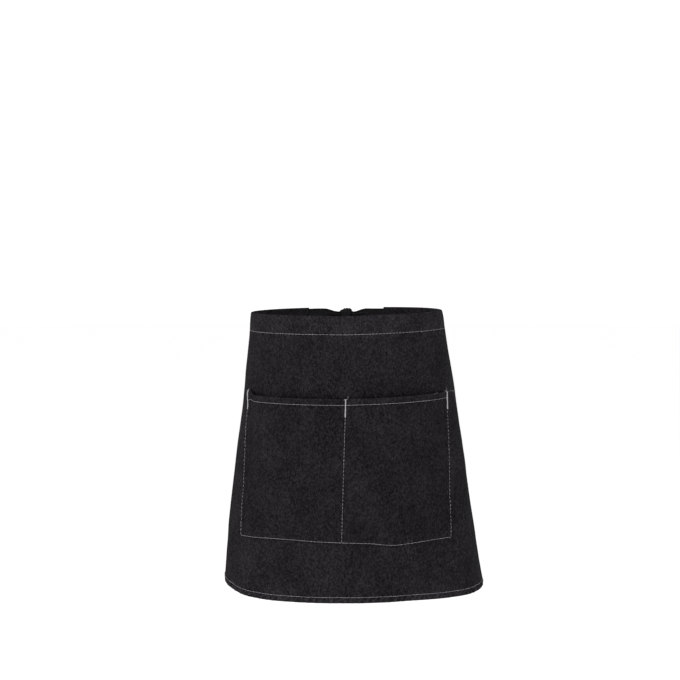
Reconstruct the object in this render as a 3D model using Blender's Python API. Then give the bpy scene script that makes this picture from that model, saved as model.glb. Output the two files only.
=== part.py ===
"""Waist apron of dark denim in its worn form, with a patch pocket and tapes tied in a bow behind.

Metres, +Z up, front towards -Y, the wearer's left towards +X. The origin is the centre of the
hollow that the waist fills, at half the height of the folded casing. Every piece of cloth lies on
one draped surface: a point is found from u, its distance along the cloth from the centre thread,
v, its distance down from the top fold, and n, its distance out from the middle of the cloth.
"""

from collections import namedtuple

import bmesh
import bpy
import numpy as np

# Panel
PANEL_WIDTH = 0.700
PANEL_LENGTH = 0.450
CLOTH = 0.0010
FOOT_HEM = 0.0105
SIDE_HEM = 0.0100
HEM_LAYERS = 2.6

# Hollow at the waist, and the spread of the hem
WAIST_HALF_WIDTH = 0.1552
WAIST_FRONT = 0.107
WAIST_BACK = 0.105
HEM_LEFT = 0.192
HEM_RIGHT = 0.233
HEM_FRONT = 0.145
HEM_BACK = 0.150
HEM_SHIFT = -0.0093
WAIST_LIFT = 0.0040
HEM_LIFT = 0.0105
FOLD_DEPTH = 0.0060

# Tapes and the casing that holds them
TAPE_WIDTH = 0.025
TAPE = 0.0012
TAPE_HIDDEN = 0.035
TUNNEL_EASE = 0.00075
CASING_SEAM = 0.0035
GAP = 0.0003

# Pocket
POCKET_WIDTH = 0.366
POCKET_TOP = 0.1305
POCKET_DEPTH = 0.226
POCKET_TURN = 0.008
MOUTH_HEM = 0.0115
TURN_LAYERS = 2.0
MOUTH_LAYERS = 2.4
MOUTH_GAPE = 0.0110
CORNER_LIFT = 0.0080
CORNER_REACH = 0.0128
FOOT_DIP = 0.0050

# Bow
KNOT_WIDTH = 0.026
KNOT_DEPTH = 0.019
KNOT_HEIGHT = 0.025
NECK_WIDTH = 0.012
NECK_LENGTH = 0.030
LOOP_LENGTH = 0.092
LOOP_OPENING = 0.024
LOOP_DROOP = np.radians(48.0)
TAIL_LENGTH = 0.262
TAIL_SPLAY = 0.036
TAIL_WAVE = 0.0058
TAIL_TWIST = 0.5

# Facets
COLUMN = 0.0125
ROW = 0.027
POCKET_ROW = 0.022
STEP = 0.0006
TOP_FOLD_POINTS = 5
LOOP_POINTS = 29
TAIL_POINTS = 17
KNOT_TURNS = 16
KNOT_RINGS = 9
SHARP_ANGLE = np.radians(35.0)

# Colours
DENIM = (0.0176, 0.0160, 0.0185)
POCKET_DENIM = (0.0160, 0.0146, 0.0170)
TAPE_BLACK = (0.012, 0.012, 0.013)
CLOTH_ROUGHNESS = 0.92
TAPE_ROUGHNESS = 0.85

# How far each measure has gone from its waist size to its hem size, at shares of the panel's length.
# The last column is the share of WAIST_LIFT by which the cloth's right side still sits higher.
Level = namedtuple("Level", "down left right front back shift tilt")
LEVELS = (
    Level(0.00, 0.00, 0.00, 0.00, 0.00, 0.00, 1.00),
    Level(0.12, 0.08, 0.12, 0.04, 0.12, 0.05, 1.05),
    Level(0.30, 0.29, 0.30, 0.16, 0.32, 0.18, 1.25),
    Level(0.52, 0.51, 0.53, 0.50, 0.55, 0.50, 0.75),
    Level(0.80, 0.80, 0.82, 0.87, 0.83, 0.86, 0.10),
    Level(1.00, 1.00, 1.00, 1.00, 1.00, 1.00, 0.00),
)

# How far the threads are lifted, at shares of the panel's half width from the centre thread:
# at the waist as shares of WAIST_LIFT, at the hem as shares of HEM_LIFT.
Rise = namedtuple("Rise", "out waist_left waist_right hem_left hem_right")
RISES = (
    Rise(0.00, 0.00, 0.00, 0.00, 0.00),
    Rise(0.25, 0.00, 0.50, -0.08, 0.00),
    Rise(0.50, 0.00, 0.95, 0.00, -0.14),
    Rise(0.65, 0.05, 1.00, 0.42, -0.20),
    Rise(0.77, 0.15, 1.00, 1.00, -0.10),
    Rise(0.90, 0.28, 0.85, 1.70, 0.15),
    Rise(1.00, 0.38, 0.70, 2.30, 0.50),
    Rise(1.20, 0.50, 0.50, 3.00, 1.20),
)

# Soft folds: place and width as shares of the panel's half width (left is negative), depth at the
# waist and at the hem as shares of FOLD_DEPTH (outward is positive), and how far the fold's line has
# moved sideways by the time it reaches the waist.
Fold = namedtuple("Fold", "place width waist hem lean")
FOLDS = (
    Fold(-0.92, 0.09, 0.00, 1.30, 0.00),
    Fold(-0.80, 0.08, 0.00, -0.70, 0.03),
    Fold(-0.38, 0.10, 0.00, 0.22, -0.06),
    Fold(-0.20, 0.09, -0.10, -0.16, 0.10),
    Fold(0.13, 0.10, 0.10, 0.28, 0.05),
    Fold(0.36, 0.08, 0.00, -0.40, 0.35),
    Fold(0.62, 0.10, 0.00, 0.34, 0.00),
    Fold(0.84, 0.07, 0.00, -0.30, -0.03),
    Fold(1.02, 0.09, 0.00, 1.10, 0.00),
)

# How far the pocket's foot hangs below a level thread, at shares of its half width from the divider,
# as shares of FOOT_DIP.
Foot = namedtuple("Foot", "out drop")
POCKET_FOOT = (
    Foot(-1.00, 0.28),
    Foot(-0.75, -0.30),
    Foot(-0.48, -0.60),
    Foot(-0.22, -0.30),
    Foot(0.00, 0.00),
    Foot(0.22, 0.30),
    Foot(0.44, 1.20),
    Foot(0.60, 0.85),
    Foot(0.80, 0.35),
    Foot(1.00, 0.20),
)

# What follows from the sizes above
HALF = PANEL_WIDTH / 2
POCKET_HALF = POCKET_WIDTH / 2
FACE = CLOTH / 2
TUNNEL = TAPE + 2 * GAP
TUNNEL_FOOT = CLOTH + TAPE_WIDTH + 2 * TUNNEL_EASE
CASING_DEPTH = TUNNEL_FOOT + CASING_SEAM
TAPE_LINE = CLOTH + TUNNEL_EASE + TAPE_WIDTH / 2
TAPE_OFFSET = -(FACE + TUNNEL / 2)
WAIST_TOP = CASING_DEPTH / 2
FALL = np.sqrt(1 - ((HEM_FRONT - WAIST_FRONT) ** 2 + HEM_SHIFT ** 2) / PANEL_LENGTH ** 2)

NODES, WEIGHTS = np.polynomial.legendre.leggauss(8)
NEWTON_ROUNDS = 6
TINY = 1e-4

# Shape of the pocket: the right corner's lift as a share of the left one's, and the powers by which
# the corner's lift, the mouth's gape and the foot's dip fade with the depth
RIGHT_CORNER = 0.1
CORNER_FADE = 6
GAPE_FADE = 1.4
DIP_FADE = 3

# Shape of the bow: the angle at which a loop leaves the knot, the factor of its widest spread, the
# play of its two necks in thicknesses of the tape, its place as a share of the knot's depth, the
# tails' places as shares of their neck's width, their waves, and the part of a turn that they twist
LOOP_START = 0.16
LOOP_FULLNESS = 0.77
LOOP_PLAY = 1.6
LOOP_SETBACK = 0.12
TAIL_PLACE = 0.62
TAIL_WAVES = 1.1
TWIST_SHARE = 0.9
KNOT_SQUARENESS = 0.55


def column(table, name):
    """One named column of a table as an array."""
    return np.array([getattr(row, name) for row in table])


def smooth(x, places, values):
    """Value at x on the smooth curve through the places and values, straight beyond its ends."""
    slopes = np.gradient(values, places)
    x = np.asarray(x, dtype=float)
    k = np.clip(np.searchsorted(places, x) - 1, 0, len(places) - 2)
    width = places[k + 1] - places[k]
    t = (np.clip(x, places[0], places[-1]) - places[k]) / width
    rise = values[k + 1] - values[k]
    start = slopes[k] * width
    end = slopes[k + 1] * width
    inside = values[k] + start * t + (3 * rise - 2 * start - end) * t ** 2 + (start + end - 2 * rise) * t ** 3
    return inside + slopes[0] * np.minimum(x - places[0], 0) + slopes[-1] * np.maximum(x - places[-1], 0)


def level(down, name, at_waist, at_hem):
    """A measure of the hollow at the share down, between its sizes at the waist and at the hem."""
    share = smooth(down, column(LEVELS, "down"), column(LEVELS, name))
    return at_waist + (at_hem - at_waist) * share


def arc_length(angle, wide, deep):
    """Length of the arc x = wide sin, y = deep cos from 0 to the angle, by Gauss's rule."""
    t = 0.5 * angle[..., None] * (NODES + 1)
    speed = np.sqrt((wide[..., None] * np.cos(t)) ** 2 + (deep[..., None] * np.sin(t)) ** 2)
    return 0.5 * angle * (speed * WEIGHTS).sum(axis=-1)


def arc_angle(length, wide, deep):
    """Angle at which the same arc has the given length, by Newton's rule."""
    angle = length / (0.5 * (wide + deep))
    for _ in range(NEWTON_ROUNDS):
        speed = np.sqrt((wide * np.cos(angle)) ** 2 + (deep * np.sin(angle)) ** 2)
        angle = angle - (arc_length(angle, wide, deep) - length) / speed
    return angle


def fold_height(u, down):
    """How far the soft folds push the cloth out: one bell curve for each row of FOLDS."""
    height = np.zeros_like(u)
    for fold in FOLDS:
        line = fold.place + fold.lean * (1 - down)
        depth = fold.waist * (1 - down) + fold.hem * down ** 2
        height = height + FOLD_DEPTH * depth * np.exp(-((u / HALF - line) / fold.width) ** 2)
    return height


def draped(u, v):
    """Point of the draped surface without its folds, and its height.

    In plan each side of the centre thread is a quarter of an ellipse at the front and a quarter of
    another at the back. The cloth keeps its length along them, so it wraps less far where they spread.
    """
    u, v = np.broadcast_arrays(np.asarray(u, dtype=float), np.asarray(v, dtype=float))
    down = v / PANEL_LENGTH
    side = np.where(u < 0, -1.0, 1.0)
    wide = np.where(
        u < 0,
        level(down, "left", WAIST_HALF_WIDTH, HEM_LEFT),
        level(down, "right", WAIST_HALF_WIDTH, HEM_RIGHT),
    )
    front = level(down, "front", WAIST_FRONT, HEM_FRONT)
    back = level(down, "back", WAIST_BACK, HEM_BACK)
    along = np.abs(u)
    quarter = arc_length(np.full_like(u, np.pi / 2), wide, front)
    ahead = arc_angle(np.minimum(along, quarter), wide, front)
    behind = arc_angle(np.maximum(along - quarter, 0), back, wide)
    in_front = along <= quarter
    x = wide * np.where(in_front, np.sin(ahead), np.cos(behind))
    y = np.where(in_front, -front * np.cos(ahead), back * np.sin(behind))
    out = along / HALF
    places = column(RISES, "out")
    waist_rise = np.where(
        u < 0,
        smooth(out, places, column(RISES, "waist_left")),
        smooth(out, places, column(RISES, "waist_right")),
    )
    hem_rise = np.where(
        u < 0,
        smooth(out, places, column(RISES, "hem_left")),
        smooth(out, places, column(RISES, "hem_right")),
    )
    lift = WAIST_LIFT * waist_rise * level(down, "tilt", 0, 1) + HEM_LIFT * hem_rise * down ** 2
    z = WAIST_TOP - v * FALL + lift
    return np.stack([level(down, "shift", 0, HEM_SHIFT) + side * x, y, z], axis=-1)


def outward(place, u, v):
    """Unit vector out of the surface that place(u, v) describes, from its slopes along u and down v."""
    across = place(u + TINY, v) - place(u - TINY, v)
    downward = place(u, v + TINY) - place(u, v - TINY)
    out = np.cross(downward, across)
    return out / np.linalg.norm(out, axis=-1, keepdims=True)


def folded(u, v):
    """Point in the middle of the cloth: the draped surface pushed out by its soft folds."""
    u, v = np.broadcast_arrays(np.asarray(u, dtype=float), np.asarray(v, dtype=float))
    return draped(u, v) + fold_height(u, v / PANEL_LENGTH)[..., None] * outward(draped, u, v)


def cloth_point(u, v, n):
    """Point at the distance n out from the middle of the cloth."""
    u, v, n = np.broadcast_arrays(
        np.asarray(u, dtype=float), np.asarray(v, dtype=float), np.asarray(n, dtype=float)
    )
    return folded(u, v) + n[..., None] * outward(folded, u, v)


def spaced(breaks, longest):
    """Places from the first break to the last, through every break, no further apart than longest."""
    runs = []
    for start, end in zip(breaks, breaks[1:]):
        count = max(1, int(np.ceil((end - start) / longest - 1e-9)))
        runs.append(np.linspace(start, end, count, endpoint=False))
    return np.concatenate(runs + [[breaks[-1]]])


def stations():
    """Columns of the panel, with the pocket's own among them so that both have the same facets."""
    breaks = [
        0,
        POCKET_HALF - POCKET_TURN - STEP,
        POCKET_HALF - POCKET_TURN,
        POCKET_HALF,
        HALF - TAPE_HIDDEN,
        HALF - SIDE_HEM - STEP,
        HALF - SIDE_HEM,
        HALF,
    ]
    right = spaced(breaks, COLUMN)
    return np.concatenate([-right[:0:-1], right])


def swept(name, rings, loops, caps, material):
    """Closed solid carried through rings of points.

    rings has one ring of points for each station. loops are closed walks over the points of a ring,
    which become the sides. caps are the faces that fill a ring, and close the first and the last.
    """
    count = rings.shape[1]
    last = (len(rings) - 1) * count
    faces = []
    for start in range(0, last, count):
        for loop in loops:
            for a, b in zip(loop, loop[1:] + loop[:1]):
                faces.append((start + a, start + b, start + count + b, start + count + a))
    for cap in caps:
        faces.append(tuple(cap))
        faces.append(tuple(last + point for point in reversed(cap)))
    return solid(name, rings.reshape(-1, 3), faces, material)


def solid(name, points, faces, material):
    """Object of the given points and faces, with its faces turned outwards."""
    mesh = bpy.data.meshes.new(name)
    mesh.from_pydata(points.tolist(), [], faces)
    work = bmesh.new()
    work.from_mesh(mesh)
    bmesh.ops.recalc_face_normals(work, faces=work.faces)
    if work.calc_volume(signed=True) < 0:
        bmesh.ops.reverse_faces(work, faces=work.faces)
    work.to_mesh(mesh)
    work.free()
    mesh.shade_smooth()
    mesh.set_sharp_from_angle(angle=SHARP_ANGLE)
    mesh.materials.append(material)
    piece = bpy.data.objects.new(name, mesh)
    bpy.context.collection.objects.link(piece)
    return piece


def finish(name, colour, roughness):
    """Principled material of one colour."""
    material = bpy.data.materials.new(name)
    material.use_nodes = True
    shader = material.node_tree.nodes["Principled BSDF"]
    shader.inputs["Base Color"].default_value = (*colour, 1.0)
    shader.inputs["Roughness"].default_value = roughness
    shader.inputs["Metallic"].default_value = 0.0
    return material


def ladder(first, second):
    """Faces between two rows of points, given by their numbers."""
    return [(first[k], first[k + 1], second[k + 1], second[k]) for k in range(len(first) - 1)]


def apron_panel(material):
    """The panel: one cloth with an open casing turned over at the top, hemmed at the foot and sides.

    Its section runs up the outer face, over the top fold, down the casing and on down the inner
    face. A second loop is the tunnel that the tapes enter.
    """
    fold_turn = np.linspace(0, np.pi, TOP_FOLD_POINTS)
    fold_middle = -(FACE + TUNNEL / 2)
    outer_radius = TUNNEL / 2 + CLOTH
    tunnel_rows = spaced([outer_radius, TUNNEL_FOOT], ROW / 3)
    fold_rows = outer_radius - outer_radius * np.sin(fold_turn[1:-1])
    inner_rows = outer_radius - TUNNEL / 2 * np.sin(fold_turn[1:-1])
    casing_outside_v = np.concatenate([tunnel_rows[::-1], fold_rows, tunnel_rows])
    casing_outside_n = np.concatenate([
        np.full(len(tunnel_rows), FACE),
        fold_middle + outer_radius * np.cos(fold_turn[1:-1]),
        np.full(len(tunnel_rows), -(FACE + TUNNEL + CLOTH)),
    ])
    tunnel_v = np.concatenate([tunnel_rows[::-1], inner_rows, tunnel_rows])
    tunnel_n = np.concatenate([
        np.full(len(tunnel_rows), -FACE),
        fold_middle + TUNNEL / 2 * np.cos(fold_turn[1:-1]),
        np.full(len(tunnel_rows), -(FACE + TUNNEL)),
    ])
    breaks = [
        CASING_DEPTH,
        POCKET_TOP,
        POCKET_TOP + POCKET_DEPTH,
        PANEL_LENGTH - FOOT_HEM - STEP,
        PANEL_LENGTH - FOOT_HEM,
        PANEL_LENGTH - CLOTH / 2,
        PANEL_LENGTH,
    ]
    face_v = spaced(breaks, ROW)
    columns = stations()

    rings = []
    for u in columns:
        in_side_hem = abs(u) > HALF - SIDE_HEM - STEP / 2
        thick = (face_v > PANEL_LENGTH - FOOT_HEM - STEP / 2) | in_side_hem
        back_n = np.where(thick, FACE - HEM_LAYERS * CLOTH, -FACE)
        front_n = np.full(len(face_v), FACE)
        front_n[-1] -= CLOTH / 2
        back_n[-1] += CLOTH / 2
        casing_end_n = min(back_n[0], -FACE) - CLOTH
        v = np.concatenate([casing_outside_v, tunnel_v, face_v, face_v, [CASING_DEPTH]])
        n = np.concatenate([casing_outside_n, tunnel_n, front_n, back_n, [casing_end_n]])
        rings.append(cloth_point(np.full(len(v), u), v, n))

    casing = list(range(len(casing_outside_v)))
    tunnel = list(range(casing[-1] + 1, casing[-1] + 1 + len(tunnel_v)))
    front = list(range(tunnel[-1] + 1, tunnel[-1] + 1 + len(face_v)))
    back = list(range(front[-1] + 1, front[-1] + 1 + len(face_v)))
    casing_end = back[-1] + 1
    outside = front[::-1] + casing + [casing_end] + back
    seam = [front[0], casing[0], tunnel[0], tunnel[-1], casing[-1], casing_end, back[0]]
    caps = ladder(casing, tunnel) + ladder(front, back) + [seam]
    return swept("apron_panel", np.array(rings), [outside, tunnel[::-1]], caps, material)


def pocket_row(u, w):
    """Distance down the panel of the pocket's point at the share w of its depth.

    The mouth's corners are drawn up, more at the left, and the foot follows POCKET_FOOT.
    """
    away_left = (u + POCKET_HALF) / CORNER_REACH
    away_right = (u - POCKET_HALF) / CORNER_REACH
    corner = np.exp(-away_left ** 2) + RIGHT_CORNER * np.exp(-away_right ** 2)
    lift = CORNER_LIFT * corner * (1 - w) ** CORNER_FADE
    drop = smooth(u / POCKET_HALF, column(POCKET_FOOT, "out"), column(POCKET_FOOT, "drop"))
    return POCKET_TOP + POCKET_DEPTH * w - lift + FOOT_DIP * drop * w ** DIP_FADE


def pocket_belly(u, w):
    """How far the pocket stands off the panel: an arch across each compartment, widest at the mouth."""
    across = np.clip(np.abs(u) / (POCKET_HALF - POCKET_TURN), 0, 1)
    return MOUTH_GAPE * np.sin(np.pi * across) * (1 - w) ** GAPE_FADE


def pocket(material):
    """The patch pocket, sewn down at its sides, its foot and the divider, and open at the mouth."""
    columns = stations()
    columns = columns[np.abs(columns) <= POCKET_HALF + TINY]
    turn_starts = POCKET_DEPTH - POCKET_TURN
    breaks = [0, MOUTH_HEM, MOUTH_HEM + STEP, turn_starts - STEP, turn_starts, POCKET_DEPTH]
    depths = spaced(breaks, POCKET_ROW)
    w = depths / POCKET_DEPTH
    rings = []
    for u in columns:
        in_side_turn = abs(u) > POCKET_HALF - POCKET_TURN - STEP / 2
        in_turn = (depths > turn_starts - STEP / 2) | in_side_turn
        layers = np.where(in_turn, TURN_LAYERS, 1.0)
        layers = np.where(depths < MOUTH_HEM + STEP / 2, MOUTH_LAYERS, layers)
        inner = FACE + GAP + pocket_belly(u, w)
        outer = inner + CLOTH * layers
        rows = pocket_row(u, w)
        v = np.concatenate([rows, rows])
        n = np.concatenate([outer, inner])
        rings.append(cloth_point(np.full(len(v), u), v, n))
    outside = list(range(len(w)))
    inside = list(range(len(w), 2 * len(w)))
    return swept("pocket", np.array(rings), [outside + inside[::-1]], ladder(outside, inside), material)


def ribbon(name, middle, across, widths, material):
    """Tape of the given width at each point of its middle line, with across as its width's direction."""
    along = np.gradient(middle, axis=0)
    face = np.cross(along, across)
    face = face / np.linalg.norm(face, axis=-1, keepdims=True)
    across = across / np.linalg.norm(across, axis=-1, keepdims=True)
    wide = across * widths[:, None] / 2
    thick = face * TAPE / 2
    corners = [wide + thick, thick - wide, -wide - thick, wide - thick]
    rings = np.stack([middle + corner for corner in corners], axis=1)
    return swept(name, rings, [[0, 1, 2, 3]], [(0, 1, 2, 3)], material)


def gathered(distance):
    """Width of the tape at a distance from the knot, where it is drawn together."""
    share = np.clip(distance / NECK_LENGTH, 0, 1)
    return NECK_WIDTH + (TAPE_WIDTH - NECK_WIDTH) * share ** 2 * (3 - 2 * share)


def way_round(side):
    """Length along the tape's line from the centre thread round to the centre of the back."""
    down = np.array([TAPE_LINE / PANEL_LENGTH])
    quarter_turn = np.array([np.pi / 2])
    half_width = "left" if side < 0 else "right"
    spread = HEM_LEFT if side < 0 else HEM_RIGHT
    wide = level(down, half_width, WAIST_HALF_WIDTH, spread)
    front = level(down, "front", WAIST_FRONT, HEM_FRONT)
    back = level(down, "back", WAIST_BACK, HEM_BACK)
    return (arc_length(quarter_turn, wide, front) + arc_length(quarter_turn, back, wide))[0]


def knot_centre():
    """Centre of the knot, behind the tapes where they meet at the centre of the back."""
    meet = cloth_point(way_round(1), TAPE_LINE, TAPE_OFFSET)
    return meet + np.array([0, KNOT_DEPTH / 2 - 2 * TAPE, 0])


def tie(name, side, material):
    """One tape, from inside the casing round to the knot, on the line of the casing."""
    end = way_round(side) - KNOT_WIDTH / 2 - GAP
    u = spaced([HALF - TAPE_HIDDEN, HALF - SIDE_HEM - STEP, HALF - SIDE_HEM, HALF, end], COLUMN)
    middle = cloth_point(side * u, np.full(len(u), TAPE_LINE), np.full(len(u), TAPE_OFFSET))
    above = cloth_point(side * u, np.full(len(u), TAPE_LINE - TINY), np.full(len(u), TAPE_OFFSET))
    return ribbon(name, middle, above - middle, gathered(end - u), material)


def bow_knot(material):
    """The knot: a rounded block, as a superellipsoid of rings round the line of the tapes."""
    azimuth = np.linspace(0, 2 * np.pi, KNOT_TURNS, endpoint=False)
    height = np.linspace(-np.pi / 2, np.pi / 2, KNOT_RINGS)[1:-1]

    def power(value):
        return np.sign(value) * np.abs(value) ** KNOT_SQUARENESS

    rings = np.stack([
        np.stack([
            KNOT_WIDTH / 2 * np.full(KNOT_TURNS, power(np.sin(h))),
            KNOT_DEPTH / 2 * power(np.cos(h)) * power(np.cos(azimuth)),
            KNOT_HEIGHT / 2 * power(np.cos(h)) * power(np.sin(azimuth)),
        ], axis=-1)
        for h in height
    ])
    rings[0, :, 0] = -KNOT_WIDTH / 2
    rings[-1, :, 0] = KNOT_WIDTH / 2
    loop = list(range(KNOT_TURNS))
    return swept("bow_knot", rings + knot_centre(), [loop], [loop], material)


def bow_loop(name, side, material):
    """A loop of the bow: a drop shape that leaves the knot's side, bends down and comes back to it."""
    turn = np.linspace(LOOP_START, 2 * np.pi - LOOP_START, LOOP_POINTS)
    reach = LOOP_LENGTH * (1 - np.cos(turn)) / 2
    spread = LOOP_OPENING * LOOP_FULLNESS * np.sin(turn) * (1 - np.cos(turn)) / 2
    neck = LOOP_PLAY * TAPE * np.sign(np.pi - turn) * np.cos(turn / 2) ** 2
    reach = reach - reach[0]
    bend = LOOP_DROOP / LOOP_LENGTH
    sag = bend * reach
    nothing = np.zeros_like(turn)
    line = np.stack([side * np.sin(sag) / bend, spread + neck, (np.cos(sag) - 1) / bend], axis=-1)
    up = np.stack([side * np.sin(sag), nothing, np.cos(sag)], axis=-1)
    beside = side * (KNOT_WIDTH / 2 + GAP + TAPE / 2)
    start = knot_centre() + np.array([beside, LOOP_SETBACK * KNOT_DEPTH, 0])
    return ribbon(name, start + line, up, gathered(reach), material)


def tie_tail(name, side, material):
    """A hanging end of the tape: it leaves the knot's foot, splays a little and turns as it hangs."""
    share = np.linspace(0, 1, TAIL_POINTS)
    start = knot_centre() + np.array([side * TAIL_PLACE * NECK_WIDTH, 0, -KNOT_HEIGHT / 2 - 2 * GAP])
    x = side * TAIL_SPLAY * np.sin(share * np.pi / 2)
    y = TAIL_WAVE * np.sin(2 * np.pi * share * TAIL_WAVES) * share
    z = -TAIL_LENGTH * share
    middle = start + np.stack([x, y, z], axis=-1)
    twist = side * TAIL_TWIST * np.sin(share * np.pi * TWIST_SHARE)
    across = np.stack([np.cos(twist), np.sin(twist), np.zeros_like(share)], axis=-1)
    return ribbon(name, middle, across, gathered(TAIL_LENGTH * share), material)


def main():
    """Clear the scene and build the apron."""
    for item in list(bpy.data.objects):
        bpy.data.objects.remove(item)
    denim = finish("denim", DENIM, CLOTH_ROUGHNESS)
    pocket_denim = finish("pocket_denim", POCKET_DENIM, CLOTH_ROUGHNESS)
    tape = finish("tape", TAPE_BLACK, TAPE_ROUGHNESS)
    apron_panel(denim)
    pocket(pocket_denim)
    tie("tie_left", -1, tape)
    tie("tie_right", 1, tape)
    bow_knot(tape)
    bow_loop("bow_loop_left", -1, tape)
    bow_loop("bow_loop_right", 1, tape)
    tie_tail("tie_tail_left", -1, tape)
    tie_tail("tie_tail_right", 1, tape)


main()
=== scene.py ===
"""Looks of a waist apron of near-black denim in the form it takes on the body, with a patch pocket and a bow
behind.

Metres, +Z up, front towards -Y. Every piece of cloth lies on one draped surface: a point is found from
u, its distance along the cloth from the centre thread, v, its distance down from the top fold, and n,
its distance out from the middle of the cloth.
"""

import logging
from dataclasses import dataclass, field
from enum import Enum
from typing import Callable, NamedTuple

import bpy
import numpy as np
from numpy.typing import NDArray
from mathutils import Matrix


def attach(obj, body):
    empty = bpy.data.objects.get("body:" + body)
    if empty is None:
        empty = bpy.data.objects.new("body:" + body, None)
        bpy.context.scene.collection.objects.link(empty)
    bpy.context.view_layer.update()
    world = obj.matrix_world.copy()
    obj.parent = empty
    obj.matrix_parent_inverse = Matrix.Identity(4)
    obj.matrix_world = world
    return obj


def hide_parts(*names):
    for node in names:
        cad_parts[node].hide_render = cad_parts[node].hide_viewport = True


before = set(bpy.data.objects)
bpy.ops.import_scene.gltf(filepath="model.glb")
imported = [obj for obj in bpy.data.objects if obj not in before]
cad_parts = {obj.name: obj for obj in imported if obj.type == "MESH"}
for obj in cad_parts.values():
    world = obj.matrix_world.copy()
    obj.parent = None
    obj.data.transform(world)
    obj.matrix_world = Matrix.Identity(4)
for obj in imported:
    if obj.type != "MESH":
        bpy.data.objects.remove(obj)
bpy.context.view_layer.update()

LOG = logging.getLogger("waist_apron")

Array = NDArray[np.float64]
Indices = NDArray[np.int64]
Object = bpy.types.Object
Material = bpy.types.Material
Node = bpy.types.Node
Socket = bpy.types.NodeSocket
Surface = Callable[[Array, Array], Array]
Pair = tuple[float, float]
Triple = tuple[float, float, float]
Colour = tuple[float, float, float, float]

BODY = "root"
UV_NAME = "cloth"

POCKET_HALF = 0.183
POCKET_TOP = 0.1305
CORNER_LIFT = 0.0080
CORNER_REACH = 0.0150

WAVE_SIZES = (0.7, 1.5)
EDGE_TURNS = (0.0, 30.0, 52.0, 72.0)
EDGE_LIMIT = 0.96


class Level(NamedTuple):
    """How far each measure has gone from its waist size to its hem size, at a share of the length."""

    down: float
    left: float
    right: float
    front: float
    back: float
    shift: float
    tilt: float


class Rise(NamedTuple):
    """How far the threads are lifted at a share of the half width, as shares of the two lifts."""

    out: float
    waist_left: float
    waist_right: float
    hem_left: float
    hem_right: float


class Fold(NamedTuple):
    """A soft fold: place, width and lean as shares of the half width, depths as shares of the depth."""

    place: float
    width: float
    waist: float
    hem: float
    lean: float


class Foot(NamedTuple):
    """How far the pocket's foot hangs at a share of its half width, as a share of the foot's dip."""

    out: float
    drop: float


LEVELS = (
    Level(0.00, 0.00, 0.00, 0.00, 0.00, 0.00, 1.00),
    Level(0.12, 0.08, 0.12, 0.04, 0.12, 0.05, 1.05),
    Level(0.30, 0.29, 0.30, 0.16, 0.32, 0.18, 1.25),
    Level(0.52, 0.51, 0.53, 0.50, 0.55, 0.50, 0.75),
    Level(0.80, 0.85, 0.82, 0.87, 0.83, 0.86, 0.10),
    Level(1.00, 1.01, 1.04, 1.00, 1.00, 1.00, 0.00),
)

RISES = (
    Rise(0.00, 0.00, 0.00, 0.00, 0.00),
    Rise(0.25, 0.00, 0.50, -0.08, 0.00),
    Rise(0.50, 0.00, 0.95, 0.04, -0.14),
    Rise(0.65, 0.05, 1.00, 0.65, -0.20),
    Rise(0.77, 0.15, 1.00, 1.20, -0.10),
    Rise(0.90, 0.28, 0.85, 1.82, 0.15),
    Rise(1.00, 0.38, 0.70, 2.30, 0.50),
    Rise(1.20, 0.50, 0.50, 3.00, 1.20),
)

FOLDS = (
    Fold(-0.92, 0.09, 0.00, 1.30, 0.00),
    Fold(-0.80, 0.08, 0.00, -0.70, 0.03),
    Fold(-0.38, 0.10, 0.00, 0.22, -0.06),
    Fold(-0.20, 0.09, -0.10, -0.16, 0.10),
    Fold(0.13, 0.10, 0.10, 0.28, 0.05),
    Fold(0.36, 0.08, 0.00, -0.40, 0.35),
    Fold(0.62, 0.10, 0.00, 0.34, 0.00),
    Fold(0.84, 0.07, 0.00, -0.30, -0.03),
    Fold(1.02, 0.09, 0.00, 1.10, 0.00),
)

POCKET_FOOT = (
    Foot(-1.00, 0.28),
    Foot(-0.75, -0.30),
    Foot(-0.48, -0.60),
    Foot(-0.22, -0.30),
    Foot(0.00, 0.00),
    Foot(0.22, 0.30),
    Foot(0.44, 1.20),
    Foot(0.60, 0.85),
    Foot(0.80, 0.35),
    Foot(1.00, 0.20),
)


def column(table: tuple[NamedTuple, ...], name: str) -> Array:
    """One named column of a table as an array."""
    return np.array([getattr(row, name) for row in table])


def smooth(x: Array, places: Array, values: Array) -> Array:
    """Value on a smooth curve through points: a cubic between each two, straight beyond the ends.

    Args:
        x: where the curve is read.
        places: the points' places, rising.
        values: the points' values.

    Returns:
        The curve's value at each x.
    """
    slopes = np.gradient(values, places)
    x = np.asarray(x, dtype=float)
    k = np.clip(np.searchsorted(places, x) - 1, 0, len(places) - 2)
    width = places[k + 1] - places[k]
    t = (np.clip(x, places[0], places[-1]) - places[k]) / width
    rise = values[k + 1] - values[k]
    start = slopes[k] * width
    end = slopes[k + 1] * width
    inside = values[k] + start * t + (3 * rise - 2 * start - end) * t**2 + (start + end - 2 * rise) * t**3
    return inside + slopes[0] * np.minimum(x - places[0], 0) + slopes[-1] * np.maximum(x - places[-1], 0)


def step(x: Array, start: float, end: float) -> Array:
    """Smooth step from 0 at start to 1 at end: 3t squared less 2t cubed."""
    t = np.clip((np.asarray(x, dtype=float) - start) / (end - start), 0, 1)
    return t * t * (3 - 2 * t)


def bell(x: Array, width: float) -> Array:
    """Bell curve of height 1 at x = 0: e to the power of minus x over width, squared."""
    return np.exp(-((x / width) ** 2))


def unit(vectors: Array) -> Array:
    """The vectors at length 1."""
    return vectors / np.linalg.norm(vectors, axis=-1, keepdims=True)


def together(*values: Array | float) -> list[Array]:
    """The values as arrays of floats that share one shape."""
    return np.broadcast_arrays(*(np.asarray(value, dtype=float) for value in values))


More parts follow.
